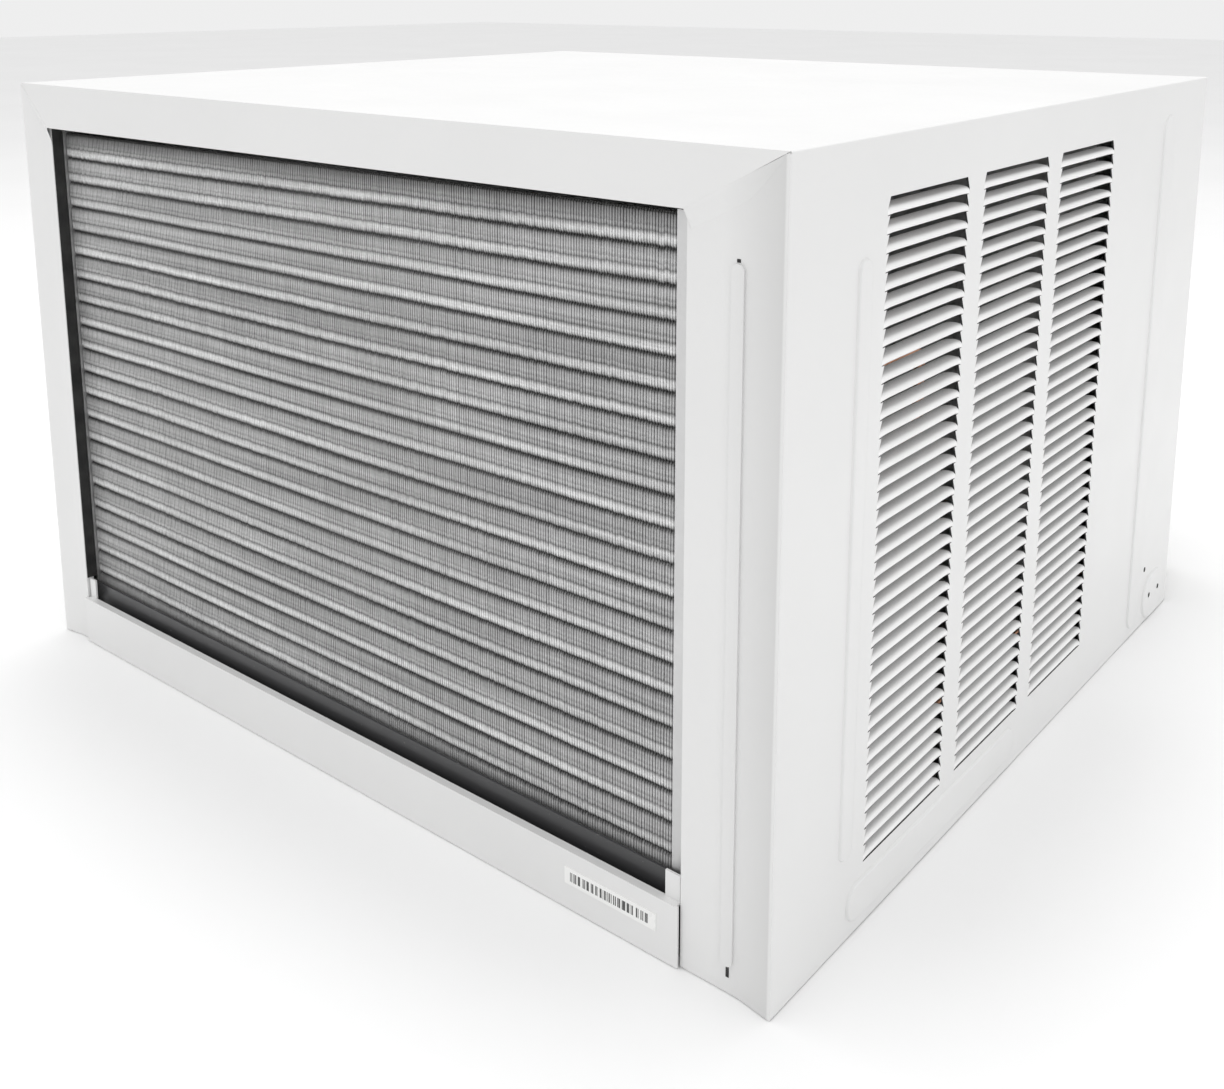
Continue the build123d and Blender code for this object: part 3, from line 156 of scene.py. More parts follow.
# ------------------------------------------------------------------ materials
class Shader:
    """A Principled material and short ways to add nodes to it."""

    def __init__(self, name, rough=0.5, metallic=0.0, **sockets):
        self.material = bpy.data.materials.new(name)
        self.material.use_nodes = True
        self.tree = self.material.node_tree
        self.bsdf = self.tree.nodes["Principled BSDF"]
        self.bsdf.inputs["Roughness"].default_value = rough
        self.bsdf.inputs["Metallic"].default_value = metallic
        for socket, value in sockets.items():
            self.bsdf.inputs[socket.replace("_", " ")].default_value = value
        self.place = self.tree.nodes.new("ShaderNodeTexCoord").outputs["Object"]

    def link(self, source, target):
        self.tree.links.new(source, target)

    def stretched(self, scale):
        """Object coordinates, scaled along each axis."""
        node = self.tree.nodes.new("ShaderNodeMapping")
        node.inputs["Scale"].default_value = scale
        self.link(self.place, node.inputs["Vector"])
        return node.outputs["Vector"]

    def noise(self, scale, detail=3.0, rough=0.5, stretch=None):
        node = self.tree.nodes.new("ShaderNodeTexNoise")
        node.inputs["Scale"].default_value = scale
        node.inputs["Detail"].default_value = detail
        node.inputs["Roughness"].default_value = rough
        vector = self.stretched(stretch) if stretch else self.place
        self.link(vector, node.inputs["Vector"])
        return node.outputs["Fac"]

    def voronoi(self, scale, feature="F1", stretch=None):
        node = self.tree.nodes.new("ShaderNodeTexVoronoi")
        node.feature = feature
        node.inputs["Scale"].default_value = scale
        vector = self.stretched(stretch) if stretch else self.place
        self.link(vector, node.inputs["Vector"])
        return node.outputs["Distance"]

    def bands(self, period, direction, phase=0.0, distortion=0.0):
        """A sine wave of 0 to 1 along one axis."""
        node = self.tree.nodes.new("ShaderNodeTexWave")
        node.wave_type = "BANDS"
        node.bands_direction = direction
        node.wave_profile = "SIN"
        node.inputs["Scale"].default_value = math.pi / (10 * period)
        node.inputs["Phase Offset"].default_value = phase
        node.inputs["Distortion"].default_value = distortion
        node.inputs["Detail"].default_value = 1.0
        self.link(self.place, node.inputs["Vector"])
        return node.outputs["Fac"]

    def ramp(self, value, stops):
        """Colours or greys along a value, from (position, colour) pairs."""
        node = self.tree.nodes.new("ShaderNodeValToRGB")
        ramp = node.color_ramp
        while len(ramp.elements) < len(stops):
            ramp.elements.new(0.5)
        for element, (position, colour) in zip(ramp.elements, stops):
            element.position = position
            shade = colour if isinstance(colour, tuple) else (colour,) * 3
            element.color = (*shade, 1.0)
        self.link(value, node.inputs["Fac"])
        return node.outputs["Color"]

    def mix(self, a, b, factor, blend="MIX"):
        node = self.tree.nodes.new("ShaderNodeMix")
        node.data_type = "RGBA"
        node.blend_type = blend
        for value, index in ((a, 6), (b, 7)):
            if isinstance(value, tuple):
                node.inputs[index].default_value = (*value, 1.0)
            else:
                self.link(value, node.inputs[index])
        if isinstance(factor, float):
            node.inputs[0].default_value = factor
        else:
            self.link(factor, node.inputs[0])
        return node.outputs[2]

    def math(self, operation, a, b=None):
        node = self.tree.nodes.new("ShaderNodeMath")
        node.operation = operation
        for value, index in ((a, 0), (b, 1)):
            if value is None:
                continue
            if isinstance(value, (int, float)):
                node.inputs[index].default_value = value
            else:
                self.link(value, node.inputs[index])
        return node.outputs[0]

    def remap(self, value, low, high, to_low=0.0, to_high=1.0):
        node = self.tree.nodes.new("ShaderNodeMapRange")
        for name, number in (
            ("From Min", low), ("From Max", high), ("To Min", to_low), ("To Max", to_high)
        ):
            node.inputs[name].default_value = number
        self.link(value, node.inputs["Value"])
        return node.outputs["Result"]

    def axis(self, index):
        node = self.tree.nodes.new("ShaderNodeSeparateXYZ")
        self.link(self.place, node.inputs[0])
        return node.outputs[index]

    def colour(self, value):
        if isinstance(value, tuple):
            self.bsdf.inputs["Base Color"].default_value = (*value, 1.0)
        else:
            self.link(value, self.bsdf.inputs["Base Color"])
        return self

    def roughness(self, value, low, high):
        self.link(self.remap(value, 0.3, 0.7, low, high), self.bsdf.inputs["Roughness"])
        return self

    def bump(self, height, distance, strength=1.0):
        node = self.tree.nodes.new("ShaderNodeBump")
        node.inputs["Distance"].default_value = distance
        node.inputs["Strength"].default_value = strength
        self.link(height, node.inputs["Height"])
        last = self.bsdf.inputs["Normal"].links
        if last:
            self.link(last[0].from_socket, node.inputs["Normal"])
        self.link(node.outputs["Normal"], self.bsdf.inputs["Normal"])
        return self


def painted_steel(name, shade, dirt=0.02):
    """Enamel on sheet metal: orange peel, faint cloudiness, dust near the floor."""
    s = Shader(name, rough=0.34, Coat_Weight=0.25, Coat_Roughness=0.2)
    cloud = s.ramp(s.noise(7.0, 4.0), [(0.3, shade), (0.7, tuple(c * 0.972 for c in shade))])
    height = s.axis(2)
    grime = s.math("MULTIPLY", s.remap(height, 0.0, 0.10, 1.0, 0.0), s.noise(38.0, 6.0, 0.65))
    grime = s.remap(grime, 0.45, 0.80, 0.0, dirt * 3)
    specks = s.remap(s.noise(420.0, 2.0), 0.70, 0.78, 0.0, dirt * 2.5)
    tint = s.mix(cloud, (0.52, 0.50, 0.46), grime)
    s.colour(s.mix(tint, (0.55, 0.54, 0.52), specks))
    s.roughness(s.noise(22.0, 5.0), 0.28, 0.42)
    s.bump(s.noise(520.0, 2.0), 0.00006, 0.55)
    s.bump(s.noise(9.0, 2.0), 0.0006, 0.35)
    return s.material


def zinc(name, shade=(0.60, 0.60, 0.60)):
    """Galvanised steel with its crystalline spangle."""
    s = Shader(name, rough=0.42, metallic=0.85)
    flake = s.ramp(s.voronoi(170.0), [(0.0, tuple(c * 0.86 for c in shade)), (0.8, shade)])
    s.colour(s.mix(flake, tuple(c * 1.12 for c in shade), s.noise(30.0, 4.0)))
    s.roughness(s.voronoi(170.0), 0.34, 0.52)
    s.bump(s.noise(300.0, 3.0), 0.00004, 0.4)
    return s.material


def moulded(name, shade, rough=0.5, grain=900.0, depth=0.00005):
    """Injection-moulded plastic with a fine spark-eroded grain."""
    s = Shader(name, rough=rough)
    tone = s.ramp(s.noise(12.0, 3.0), [(0.35, shade), (0.7, tuple(c * 0.95 for c in shade))])
    scuff = s.remap(s.noise(60.0, 6.0, 0.7, stretch=(1.0, 1.0, 0.2)), 0.66, 0.80, 0.0, 0.25)
    s.colour(s.mix(tone, tuple(min(1.0, c * 0.8 + 0.04) for c in shade), scuff))
    s.roughness(s.noise(40.0, 4.0), max(0.1, rough - 0.08), min(1.0, rough + 0.1))
    s.bump(s.noise(grain, 2.0), depth, 0.6)
    return s.material


def copper(name):
    s = Shader(name, rough=0.3, metallic=1.0)
    bright, dull_and_painted_shade = (0.80, 0.42, 0.25), (0.42, 0.22, 0.14)
    s.colour(s.ramp(s.noise(26.0, 5.0, 0.6), [(0.35, bright), (0.68, dull_and_painted_shade)]))
    s.roughness(s.noise(50.0, 4.0), 0.22, 0.5)
    s.bump(s.noise(700.0, 2.0), 0.00003, 0.4)
    return s.material


def steel(name, shade=(0.55, 0.55, 0.56), rough=0.28):
    """Turned steel: fine rings and small scratches."""
    s = Shader(name, rough=rough, metallic=1.0)
    s.colour(s.ramp(s.noise(90.0, 4.0), [(0.3, shade), (0.7, tuple(c * 0.8 for c in shade))]))
    s.roughness(s.noise(160.0, 4.0, stretch=(1, 6, 1)), rough - 0.06, rough + 0.16)
    s.bump(s.noise(500.0, 3.0, stretch=(1, 12, 1)), 0.00003, 0.5)
    return s.material


def rubber(name):
    s = Shader(name, rough=0.72)
    dark, grey = (0.010, 0.010, 0.010), (0.028, 0.028, 0.027)
    s.colour(s.ramp(s.noise(70.0, 5.0), [(0.35, dark), (0.7, grey)]))
    s.roughness(s.noise(90.0, 3.0), 0.6, 0.85)
    s.bump(s.noise(600.0, 3.0), 0.00008, 0.6)
    return s.material


def enamel_black(name):
    s = Shader(name, rough=0.25, Coat_Weight=0.6, Coat_Roughness=0.12)
    dark, worn = (0.012, 0.012, 0.013), (0.035, 0.034, 0.033)
    s.colour(s.ramp(s.noise(18.0, 5.0), [(0.35, dark), (0.75, worn)]))
    s.roughness(s.noise(60.0, 4.0), 0.2, 0.42)
    s.bump(s.noise(240.0, 3.0), 0.00012, 0.4)
    return s.material


def foam(name):
    """Expanded foam: rounded beads pressed together."""
    s = Shader(name, rough=0.85)
    bead = s.voronoi(330.0)
    s.colour(s.ramp(bead, [(0.0, (0.90, 0.90, 0.89)), (0.9, (0.78, 0.78, 0.77))]))
    s.roughness(s.noise(50.0), 0.78, 0.95)
    s.bump(s.math("MULTIPLY", bead, -1.0), 0.0006, 0.6)
    return s.material


def fin_metal(name, rows_z):
    """Weathered aluminium fins, with painted highlights on the crests and painted shade in the
    grooves at every tube row.
    """
    s = Shader(name, rough=0.5, metallic=0.12)
    comb = s.remap(s.noise(1.0, 1.0, stretch=(620.0, 0.0, 12.0)), 0.3, 0.7, -0.00045, 0.00045)
    sway = s.remap(s.noise(7.0, 2.0), 0.3, 0.7, -0.0005, 0.0005)
    level = s.math("ADD", s.math("SUBTRACT", s.axis(2), rows_z), s.math("ADD", comb, sway))
    row = s.math("FRACT", s.math("DIVIDE", level, FIN_ROW))
    # painted highlights on the crests and painted shade in the grooves of every tube row, on
    # both coils
    row_light_and_shade = s.ramp(
        row,
        [
            (0.00, 0.03), (0.035, 0.06), (0.10, 0.46), (0.17, 0.74), (0.29, 0.72),
            (0.36, 0.46), (0.41, 0.20), (0.46, 0.42), (0.52, 0.52), (0.57, 0.36),
            (0.66, 0.50), (0.86, 0.42), (0.93, 0.22), (1.0, 0.03),
        ],
    )
    streak = s.remap(s.noise(1.0, 5.0, 0.65, stretch=(5.0, 1.0, 150.0)), 0.30, 0.70, 0.74, 1.26)
    rib = s.remap(s.noise(1.0, 2.0, stretch=(420.0, 0.0, 9.0)), 0.25, 0.75, 0.84, 1.10)
    speck = s.remap(s.noise(1000.0, 3.0, 0.7), 0.3, 0.7, 0.82, 1.16)
    worn = s.math("MULTIPLY", s.math("MULTIPLY", streak, rib), speck)
    tone = s.mix(row_light_and_shade, worn, 1.0, "MULTIPLY")
    # painted shadow over the top of the coil under the frame, and darker towards the bottom
    ends = s.math(
        "MAXIMUM",
        s.remap(s.axis(2), rows_z, rows_z + 0.040, 0.55, 0.0),
        s.remap(s.axis(2), rows_z + 0.366, rows_z + 0.378, 0.0, 0.8),
    )
    tone = s.mix(tone, (0.10, 0.10, 0.098), ends)
    dust_and_painted_shade = s.remap(s.noise(5.0, 6.0, 0.7), 0.45, 0.75, 0.0, 0.22)
    s.colour(s.mix(tone, (0.26, 0.255, 0.25), dust_and_painted_shade))
    s.roughness(s.noise(120.0, 4.0), 0.36, 0.6)
    s.bump(s.noise(800.0, 3.0), 0.00004, 0.5)
    return s.material


def mesh_cloth(name, shade=(0.10, 0.13, 0.16)):
    """Woven plastic filter mesh on its moulded frame."""
    s = Shader(name, rough=0.6)
    warp = s.bands(0.0012, "X")
    weft = s.bands(0.0012, "Z")
    weave = s.math("MAXIMUM", warp, weft)
    s.colour(s.ramp(weave, [(0.45, tuple(c * 0.35 for c in shade)), (0.8, shade)]))
    s.roughness(s.noise(40.0), 0.5, 0.7)
    s.bump(weave, 0.0003, 0.7)
    return s.material


def coded_label(name):
    """A blank rating film with plain upright bars."""
    s = Shader(name, rough=0.3, Coat_Weight=0.3)
    across = s.math("FRACT", s.math("MULTIPLY", s.axis(0), 1000.0 / 3.1))
    fine = s.noise(1400.0, 0.0, stretch=(1.0, 0.0, 0.0))
    bar = s.math("GREATER_THAN", s.math("ADD", s.math("MULTIPLY", across, 0.35), fine), 0.66)
    low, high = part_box("rating_plate")
    margin_z, margin_x = 2.2 * MM, 4 * MM
    inside = s.math(
        "MULTIPLY",
        s.math("GREATER_THAN", s.axis(2), low[2] + margin_z),
        s.math("LESS_THAN", s.axis(2), high[2] - margin_z),
    )
    inside = s.math("MULTIPLY", inside, s.math("GREATER_THAN", s.axis(0), low[0] + margin_x))
    inside = s.math("MULTIPLY", inside, s.math("LESS_THAN", s.axis(0), high[0] - margin_x))
    ink = s.math("MULTIPLY", bar, inside)
    s.colour(s.mix((0.86, 0.86, 0.85), (0.05, 0.05, 0.05), ink))
    s.roughness(s.noise(60.0), 0.25, 0.4)
    s.bump(s.noise(300.0), 0.00002, 0.4)
    return s.material


def blades_painted_shade(name, shade):
    """The enamel of the louver blades, with speckled painted shade towards their free edges."""
    s = Shader(name, rough=0.4, Coat_Weight=0.2, Coat_Roughness=0.25)
    above = s.math("SUBTRACT", s.axis(2), SLOT_LOW - STRIP)
    row = s.math("FRACT", s.math("DIVIDE", above, ROW_PITCH))
    speck = s.remap(s.noise(900.0, 3.0, 0.7), 0.35, 0.65, 0.35, 1.25)
    # speckled painted shade over the upper part of each blade, under the strip above
    shade_band = s.remap(row, 0.36, 0.60, 0.0, 0.22)
    dust_and_painted_shade = s.math("MINIMUM", s.math("MULTIPLY", shade_band, speck), 0.9)
    clean = s.ramp(s.noise(30.0, 4.0), [(0.3, shade), (0.7, tuple(c * 0.96 for c in shade))])
    s.colour(s.mix(clean, (0.20, 0.20, 0.20), dust_and_painted_shade))
    s.roughness(s.noise(60.0, 4.0), 0.3, 0.5)
    s.bump(s.noise(520.0, 2.0), 0.00005, 0.5)
    return s.material


def flange_painted_shade(name, shade):
    """Enamel with painted shade growing towards the outer edge of the rear flange at -X, and a
    painted highlight along its rim.
    """
    s = Shader(name, rough=0.38, Coat_Weight=0.2, Coat_Roughness=0.25)
    cloud = s.ramp(s.noise(7.0, 4.0), [(0.3, shade), (0.7, tuple(c * 0.975 for c in shade))])
    # painted shade towards the flange's outer edge, patchy, giving way to a painted highlight on
    # the rim
    edge = s.remap(s.axis(0), *FLANGE_SHADE_X, 0.0, 0.34)
    rim = s.remap(s.axis(0), *FLANGE_HIGHLIGHT_X, 1.0, 0.15)
    patches = s.remap(s.noise(6.0), 0.3, 0.7, 0.85, 1.1)
    dull_and_painted_shade = s.math("MULTIPLY", s.math("MULTIPLY", edge, rim), patches)
    s.colour(s.mix(cloud, (0.33, 0.33, 0.325), dull_and_painted_shade))
    s.roughness(s.noise(22.0, 5.0), 0.3, 0.46)
    s.bump(s.noise(520.0, 2.0), 0.00006, 0.55)
    return s.material


WHITE = (0.765, 0.765, 0.762)
M = {
    "cabinet_paint": painted_steel("cabinet_enamel", WHITE),
    "galvanised": zinc("galvanised_sheet"),
    "pan_paint": painted_steel("pan_enamel", (0.045, 0.045, 0.047), 0.12),
    "fin_aluminium": fin_metal("condenser_fin_metal", COND[0][2]),
    "evaporator": fin_metal("evaporator_fin_metal", EVAP[0][2]),
    "copper": copper("drawn_copper"),
    "compressor_paint": enamel_black("compressor_enamel"),
    "motor_shell": zinc("motor_shell_metal", (0.42, 0.42, 0.43)),
    "rubber_black": rubber("black_rubber"),
    "fastener": steel("plated_steel"),
    "fan_plastic": moulded("fan_plastic", (0.10, 0.105, 0.11), 0.45),
    "duct_foam": foam("duct_foam"),
    "front_plastic": moulded("front_plastic", (0.75, 0.75, 0.735), 0.42),
    "vane_plastic": moulded("vane_plastic", (0.62, 0.62, 0.61), 0.4),
    "filter_plastic": mesh_cloth("filter_mesh"),
    "control_plastic": moulded("control_plastic", (0.035, 0.036, 0.04), 0.28),
    "plate_film": coded_label("rating_film"),
}
PANEL_GREY = moulded("control_panel_plastic", (0.34, 0.345, 0.35), 0.38)
# near-black filler for slits, holes and the gap beside the coil: painted shade
DARK_GAP = rubber("gap_painted_shade")
# near black on the inner faces and cut edges of the side sheets and blades: painted shade inside
# the slots
INNER_SHADE = moulded("inner_painted_shade", (0.035, 0.035, 0.036), 0.7, 500.0)
# painted light: the blades' enamel is a lighter copy of the cabinet white, making up for the
# light they miss
BLADES = blades_painted_shade("louver_painted_light_and_shade", (0.88, 0.88, 0.875))

SLOT_OF = {part["node"]: part["material_slot"] for part in frame["record"]["subparts"]}
OVERRIDES = {
    "control_panel": PANEL_GREY,
    # the flange at -X carries painted shade and a painted highlight on its rim
    "rear_frame_right": flange_painted_shade("flange_enamel_painted_shade", WHITE),
}
for node, obj in frame["nodes"].items():
    wanted = OVERRIDES.get(node, M[SLOT_OF[node]])
    for index in range(len(obj.material_slots)):
        obj.material_slots[index].material = wanted


# ------------------------------------------------------------- mesh utilities
def make_piece(name, mesh_builder, material, body, smooth=True, angle=40.0):
    """A new object filled by mesh_builder(bmesh), riding on a body."""
    mesh = bpy.data.meshes.new(name)
    bm = bmesh.new()
    mesh_builder(bm)
    bm.to_mesh(mesh)
    bm.free()
    obj = bpy.data.objects.new(name, mesh)
    bpy.context.collection.objects.link(obj)
    mesh.materials.append(material)
    if smooth:
        mesh.polygons.foreach_set("use_smooth", [True] * len(mesh.polygons))
        mesh.set_sharp_from_angle(angle=math.radians(angle))
    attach(obj, body)
    return obj


def thickened(obj, thickness):
    """Thickness on the inner side, whose faces and rim take the second material."""
    solid = obj.modifiers.new("thickness", "SOLIDIFY")
    solid.thickness = thickness
    solid.offset = -1.0
    solid.use_even_offset = True
    solid.material_offset = len(obj.data.materials) // 2
    solid.material_offset_rim = len(obj.data.materials) // 2
    graph = bpy.context.evaluated_depsgraph_get()
    mesh = bpy.data.meshes.new_from_object(obj.evaluated_get(graph))
    obj.modifiers.clear()
    obj.data = mesh
    mesh.set_sharp_from_angle(angle=math.radians(35))
    return obj


def grid(bm, rows):
    """Faces between neighbouring rows of points of equal length."""
    made = [[bm.verts.new(p) for p in row] for row in rows]
    for lower, upper in zip(made, made[1:]):
        for a, b, c, d in zip(lower, lower[1:], upper[1:], upper):
            bm.faces.new((a, b, c, d))
    return made


def slab(bm, low, high):
    """A closed box between two corners."""
    v = [
        bm.verts.new((x, y, z))
        for z in (low[2], high[2]) for y in (low[1], high[1]) for x in (low[0], high[0])
    ]
    faces = (
        (0, 2, 3, 1), (4, 5, 7, 6), (0, 1, 5, 4), (2, 6, 7, 3), (0, 4, 6, 2), (1, 3, 7, 5)
    )
    for face in faces:
        bm.faces.new([v[i] for i in face])


def in_metres(corners):
    return [tuple(value * MM for value in corner) for corner in corners]


# ------------------------------------------------------- louvered side sheets
def blade_section(share):
    """Inward depth and rise of the blade at a share of its width."""
    turn = BLADE_BEND * min(share / BEND_SHARE, 1.0)
    depth = BEND_RADIUS * (1 - math.cos(turn))
    rise = BEND_RADIUS * math.sin(turn)
    if share > BEND_SHARE:
        run = (share - BEND_SHARE) / (1 - BEND_SHARE)
        depth += (BLADE_IN - BEND_RADIUS * (1 - math.cos(BLADE_BEND))) * run
        rise += (BLADE_RISE + LIP - BEND_RADIUS * math.sin(BLADE_BEND)) * run
    return depth, rise


def louver_slat(bm, side, y_middle, z_strip):
    """One strip with its blade, pressed inward along the top edge of the strip."""
    steps = 26
    half = LOUVER_LENGTH / 2
    strip_rows, blade_rows = 3, 9
    rows = []
    for level in range(strip_rows + blade_rows + 1):
        row = []
        for step in range(steps + 1):
            along = -math.cos(math.pi * step / steps) * half
            from_end = half - abs(along)
            ease = math.sqrt(max(0.0, 1 - (1 - min(from_end / CORNER, 1.0)) ** 2))
            if level <= strip_rows:
                share = level / strip_rows
                depth = STRIP_DISH * ease * (1 - share) ** 2
                z = z_strip + (STRIP - LIP) * share
                z += STRIP_LIFT * ease * (1 - share)
            else:
                share = (level - strip_rows) / blade_rows
                depth, rise = blade_section(share * (BLADE_LEAST + (1 - BLADE_LEAST) * ease))
                z = z_strip + STRIP - LIP + rise
            row.append((side * (OUTER_X - depth), y_middle + along, z))
        rows.append(row)
    if side < 0:
        rows = [row[::-1] for row in rows]
    grid(bm, rows)


def raised_pad(bm, side, y, z, length, width, upright):
    """A pressed rib with round ends and a soft shoulder."""
    radius, half = width / 2, length / 2
    steps = 48
    rings = []
    for inset, height in RIB_SHOULDER:
        r = radius - inset * MM
        ring = []
        for step in range(steps):
            angle = 2 * math.pi * step / steps
            u = math.cos(angle) * r + math.copysign(half - radius, math.cos(angle))
            w = math.sin(angle) * r
            du, dw = (w, u) if upright else (u, w)
            ring.append((side * (OUTER_X + height * MM), y + du, z + dw))
        rings.append([bm.verts.new(p) for p in ring])
    flip = (side < 0) != upright
    for lower, upper in zip(rings, rings[1:]):
        for i in range(steps):
            j = (i + 1) % steps
            face = (lower[i], lower[j], upper[j], upper[i])
            bm.faces.new(face[::-1] if flip else face)
    bm.faces.new(rings[-1][::-1] if flip else rings[-1])


def side_skin(side):
    """The flat sheet with its three openings and the slanted ends of their slots."""

    def build(bm):
        ys = [MOUTH_Y, MOUTH_Y + 6 * MM]
        for y in COLUMN_Y:
            ys += [y - LOUVER_LENGTH / 2, y + LOUVER_LENGTH / 2]
        ys.append(SIDE_HIGH[1])
        zs = [0.0, SLOT_LOW - STRIP, SLOT_HIGH, TOP_Z]
        openings = {(2, 1), (4, 1), (6, 1)}
        made = {}

        def corner(i, j):
            if (i, j) not in made:
                made[i, j] = bm.verts.new((side * OUTER_X, ys[i], zs[j]))
            return made[i, j]

        for i in range(len(ys) - 1):
            for j in range(len(zs) - 1):
                if (i, j) in openings:
                    continue
                face = (corner(i, j), corner(i + 1, j), corner(i + 1, j + 1), corner(i, j + 1))
                bm.faces.new(face if side > 0 else face[::-1])
        for y in COLUMN_Y:
            for row in range(ROWS):
                z_slot = SLOT_LOW + row * ROW_PITCH
                for end in (-1, 1):
                    y_edge = y + end * LOUVER_LENGTH / 2
                    tip = (side * OUTER_X, y_edge - end * SLOT_SLANT, z_slot + SLOT)
                    corners = [
                        bm.verts.new((side * OUTER_X, y_edge, z_slot)),
                        bm.verts.new((side * OUTER_X, y_edge, z_slot + SLOT)),
                        bm.verts.new(tip),
                    ]
                    flat = bm.faces.new(corners)
                    flat.normal_update()
                    if flat.normal.x * side < 0:
                        flat.normal_flip()

    return build


def slat_set(side):
    def build(bm):
        for y in COLUMN_Y:
            for row in range(ROWS):
                louver_slat(bm, side, y, SLOT_LOW - STRIP + row * ROW_PITCH)

    return build


def rib_set(side):
    def build(bm):
        for back, up, length, width, upright in RIBS:
            y, z = REAR_Y - back * MM, up * MM
            raised_pad(bm, side, y, z, length * MM, width * MM, upright)

    return build


for side, label in SIDES:
    skin = make_piece(
        f"side_sheet_{label}", side_skin(side), M["cabinet_paint"], "cabinet"
    )
    # inner faces and cut edges take the painted shade
    skin.data.materials.append(INNER_SHADE)
    thickened(skin, SIDE_THICKNESS)
    slats = make_piece(
        f"louver_blades_{label}", slat_set(side), BLADES, "cabinet"
    )
    # inner faces and cut edges take the painted shade
    slats.data.materials.append(INNER_SHADE)
    thickened(slats, BLADE_THICKNESS)
    make_piece(
        f"side_ribs_{label}", rib_set(side), M["cabinet_paint"], "cabinet",
        angle=60,
    )
    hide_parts(f"cabinet_side_{label}")


# ------------------------------------------------- folded seams of the rear frame
def flange_face(flange, x, z):
    """Y of the dished side flange at a place on it."""
    start = flange.matrix_world.inverted() @ Vector((x, REAR_Y + 1 * MM, z))
    hit, spot, _, _ = flange.ray_cast(start, Vector((0, -1, 0)))
    return (flange.matrix_world @ spot).y if hit else REAR_Y


def seam_ramp(side):
    """A pressed slope along the mitre, from the top flange down to the side flange."""
    inner, low = (OPEN_X[0] if side < 0 else OPEN_X[1]), OPEN_Z[1]
    outer, top = side * MITRE_X, TOP_Z
    levels, steps = 4, 24
    probe_drop = 4 * MM  # the flange's depth is taken this far below the mitre
    flange = frame["nodes"]["rear_frame_right" if side < 0 else "rear_frame_left"]

    def build(bm):
        rows = []
        for level in range(levels + 1):
            down = level / levels
            ease = down * down * (3 - 2 * down)
            row = []
            for step in range(steps + 1):
                share = step / steps
                x, z = inner + (outer - inner) * share, low + (top - low) * share
                depth = REAR_Y - flange_face(flange, x, z - probe_drop)
                z_here = z + MITRE_ABOVE - (MITRE_PER_DEPTH * depth + MITRE_LEAST) * down
                y = REAR_Y + MITRE_PROUD - (depth + MITRE_SUNK) * ease
                row.append((x, y, z_here))
            rows.append(row)
        if side > 0:
            rows = [row[::-1] for row in rows]
        grid(bm, rows)
        bmesh.ops.remove_doubles(bm, verts=bm.verts, dist=0.00001)

    return build


for side, label in SIDES:
    # the slope at -X carries the flange's painted shade
    material = OVERRIDES["rear_frame_right"] if side < 0 else M["cabinet_paint"]
    make_piece(f"mitre_slope_{label}", seam_ramp(side), material, "cabinet")


# black slabs in two small slits of the flange at -X: painted shade
def slit_shade(bm):
    for corners in SLITS:
        slab(bm, *in_metres(corners))


make_piece("flange_slit", slit_shade, DARK_GAP, "cabinet", smooth=False)


# ------------------------------------------------- painted shade: black strip beside the coil
def coil_gap_shade(bm):
    slab(bm, *in_metres(COIL_GAP_SHADE))


make_piece("coil_gap_shade", coil_gap_shade, DARK_GAP, "cabinet", smooth=False)


# ------------------------------------------------- small holes and dial marks
def disc(bm, centre, radius, normal, thickness):
    """A flat round plug along X, for holes in the side sheets."""
    steps = 20
    ring = []
    for k in range(steps):
        angle = 2 * math.pi * k / steps
        ring.append((centre[1] + math.cos(angle) * radius, centre[2] + math.sin(angle) * radius))
    outer = [bm.verts.new((centre[0], y, z)) for y, z in ring]
    inner = [bm.verts.new((centre[0] - normal * thickness, y, z)) for y, z in ring]
    bm.faces.new(outer)
    bm.faces.new(inner[::-1])
    for k in range(steps):
        j = (k + 1) % steps
        bm.faces.new((outer[j], outer[k], inner[k], inner[j]))
    bmesh.ops.recalc_face_normals(bm, faces=bm.faces)


def side_holes(side):
    def build(bm):
        for y, z, x in HOLES:
            centre = (side * x * MM, y * MM, z * MM)
            disc(bm, centre, HOLE_RADIUS, side, HOLE_DEPTH)

    return build


for side, label in SIDES:
    # black plugs: painted shade for the dark inside of each fixing hole
    make_piece(
        f"fixing_holes_{label}", side_holes(side), DARK_GAP, "cabinet",
        smooth=False,
    )


def dial_marks(bm):
    """Plain radial marks round both knobs."""
    for z, first, last, count in DIALS:
        for k in range(count):
            angle = math.radians(first + (last - first) * k / (count - 1))
            width, length = (0.9, 3.0) if k % 2 else (1.3, 4.5)
            out = Vector((math.sin(angle), 0, math.cos(angle)))
            across = Vector((out.z, 0, -out.x)) * width / 2 * MM
            near = Vector((DIAL_X, 0, z * MM)) + out * DIAL_RADIUS
            far = near + out * length * MM
            front = [
                bm.verts.new((p.x, DIAL_FRONT_Y, p.z))
                for p in (near - across, far - across, far + across, near + across)
            ]
            back = [bm.verts.new((v.co.x, DIAL_BACK_Y, v.co.z)) for v in front]
            bm.faces.new(front)
            bm.faces.new(back[::-1])
            for i in range(4):
                j = (i + 1) % 4
                bm.faces.new((front[j], front[i], back[i], back[j]))
    bmesh.ops.recalc_face_normals(bm, faces=bm.faces)


make_piece("dial_marks", dial_marks, M["front_plastic"], "chassis", smooth=False)


# ------------------------------------------------------------------ coil fins
def fin_profile(share):
    """How far a fin edge stands proud at a share of a tube row, 0 in the row's groove."""
    for (a, low), (b, high) in zip(FIN_STOPS, FIN_STOPS[1:]):
        if share <= b:
            return low + (high - low) * (share - a) / (b - a)
    return 0.0


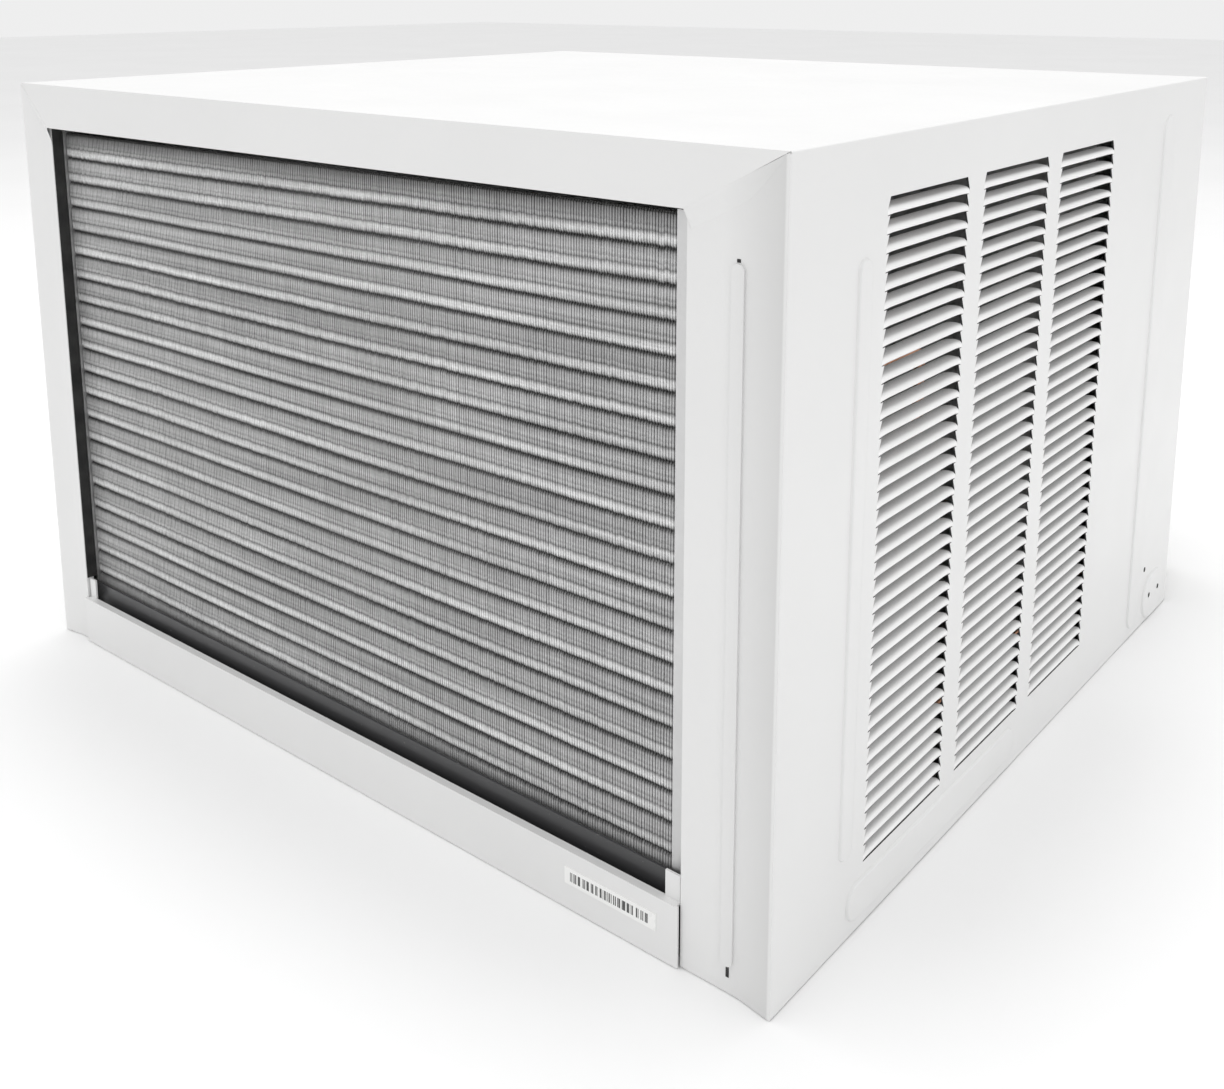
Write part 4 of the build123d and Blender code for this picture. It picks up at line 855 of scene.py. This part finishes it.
def fin_pack(low, high, pitch, thickness, outward, proud, depth):
    """Upright fins whose free edges ripple with the tube rows, on a solid core."""
    face_y = high[1] if outward > 0 else low[1]

    def build(bm):
        core_y = face_y - outward * (proud + depth)
        y_range = sorted((core_y, low[1] if outward > 0 else high[1]))
        slab(bm, (low[0], y_range[0], low[2]), (high[0], y_range[1], high[2]))
        count = int((high[0] - low[0]) / pitch)
        heights = []
        z = low[2]
        while z < high[2] - 1e-6:
            for share in FIN_SHARES:
                heights.append(z + FIN_ROW * share)
            z += FIN_ROW
        heights = [h for h in heights if h < high[2]] + [high[2]]
        for fin in range(count):
            x = low[0] + pitch * (fin + 0.5)
            lean = 0.12 * MM * math.sin(fin * 1.7) + 0.1 * MM * math.sin(fin * 0.37)
            rows = []
            for h in heights:
                share = ((h - low[2]) / FIN_ROW) % 1.0
                edge = face_y - outward * proud * (1 - fin_profile(share))
                shift = lean + 0.15 * MM * math.sin(2 * math.pi * share)
                back = core_y - outward * FIN_ROOT
                rows.append(
                    [
                        (x - thickness / 2, back, h),
                        (x + shift - thickness / 2, edge, h),
                        (x + shift + thickness / 2, edge, h),
                        (x + thickness / 2, back, h),
                    ]
                )
            if outward < 0:
                rows = [row[::-1] for row in rows]
            grid(bm, rows)

    return build


# pitch, thickness, and depth of the ripple and of the fins behind it, in mm
for coil, box, metal, outward, pitch, thickness, proud, depth in (
    ("condenser", COND, "fin_aluminium", 1, 1.8, 1.15, 1.2, 0.5),
    ("evaporator", EVAP, "evaporator", -1, 2.6, 0.4, 1.0, 3.0),
):
    fins = fin_pack(*box, pitch * MM, thickness * MM, outward, proud * MM, depth * MM)
    pack = make_piece(
        f"{coil}_fin_pack", fins, M[metal], "chassis", smooth=False
    )
    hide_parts(f"{coil}_fins")


# ---------------------------------------------------------- stage and camera
def studio():
    scene = bpy.context.scene
    scene.view_settings.view_transform = "Standard"
    world = bpy.data.worlds.new("studio")
    scene.world = world
    world.use_nodes = True
    world.node_tree.nodes["Background"].inputs["Color"].default_value = (1, 1, 1, 1)
    world.node_tree.nodes["Background"].inputs["Strength"].default_value = 0.86

    floor_mesh = bpy.data.meshes.new("floor")
    reach, below = 12.0, -0.5 * MM
    corners = ((-reach, -reach), (reach, -reach), (reach, reach), (-reach, reach))
    floor_mesh.from_pydata([(x, y, below) for x, y in corners], [], [(0, 1, 2, 3)])
    floor = bpy.data.objects.new("floor", floor_mesh)
    bpy.context.collection.objects.link(floor)
    s = Shader("floor_paper", rough=0.9)
    s.colour(s.ramp(s.noise(2.0), [(0.3, (0.93, 0.93, 0.93)), (0.7, (0.91, 0.91, 0.91))]))
    floor_mesh.materials.append(s.material)

    for name, place, size, power in (
        ("key_light", (-1.6, 1.4, 2.6), 1.6, 6.0),
        ("top_light", (0.2, 0.0, 3.2), 2.0, 42.0),
        ("side_light", (-3.2, -0.8, 1.3), 2.0, 6.0),
        ("rear_light", (1.4, 3.4, 1.2), 2.0, 4.0),
    ):
        data = bpy.data.lights.new(name, "AREA")
        data.shape = "DISK"
        data.size = size
        data.energy = power
        lamp = bpy.data.objects.new(name, data)
        lamp.location = place
        aim = Vector((0, 0, 0.2)) - Vector(place)
        lamp.rotation_euler = aim.to_track_quat("-Z", "Y").to_euler()
        bpy.context.collection.objects.link(lamp)


def camera():
    data = bpy.data.cameras.new("camera")
    cam = bpy.data.objects.new("camera", data)
    bpy.context.collection.objects.link(cam)
    data.sensor_width = 36.0
    data.lens = 39.946
    data.shift_y = -0.2406
    data.clip_start, data.clip_end = 0.02, 60.0
    cam.location = (-0.63695, 0.83573, 0.50128)
    cam.rotation_mode = "YXZ"
    cam.rotation_euler = (math.pi / 2 - 0.19428, 0.00457, 3.82144)
    bpy.context.scene.camera = cam


studio()
camera()
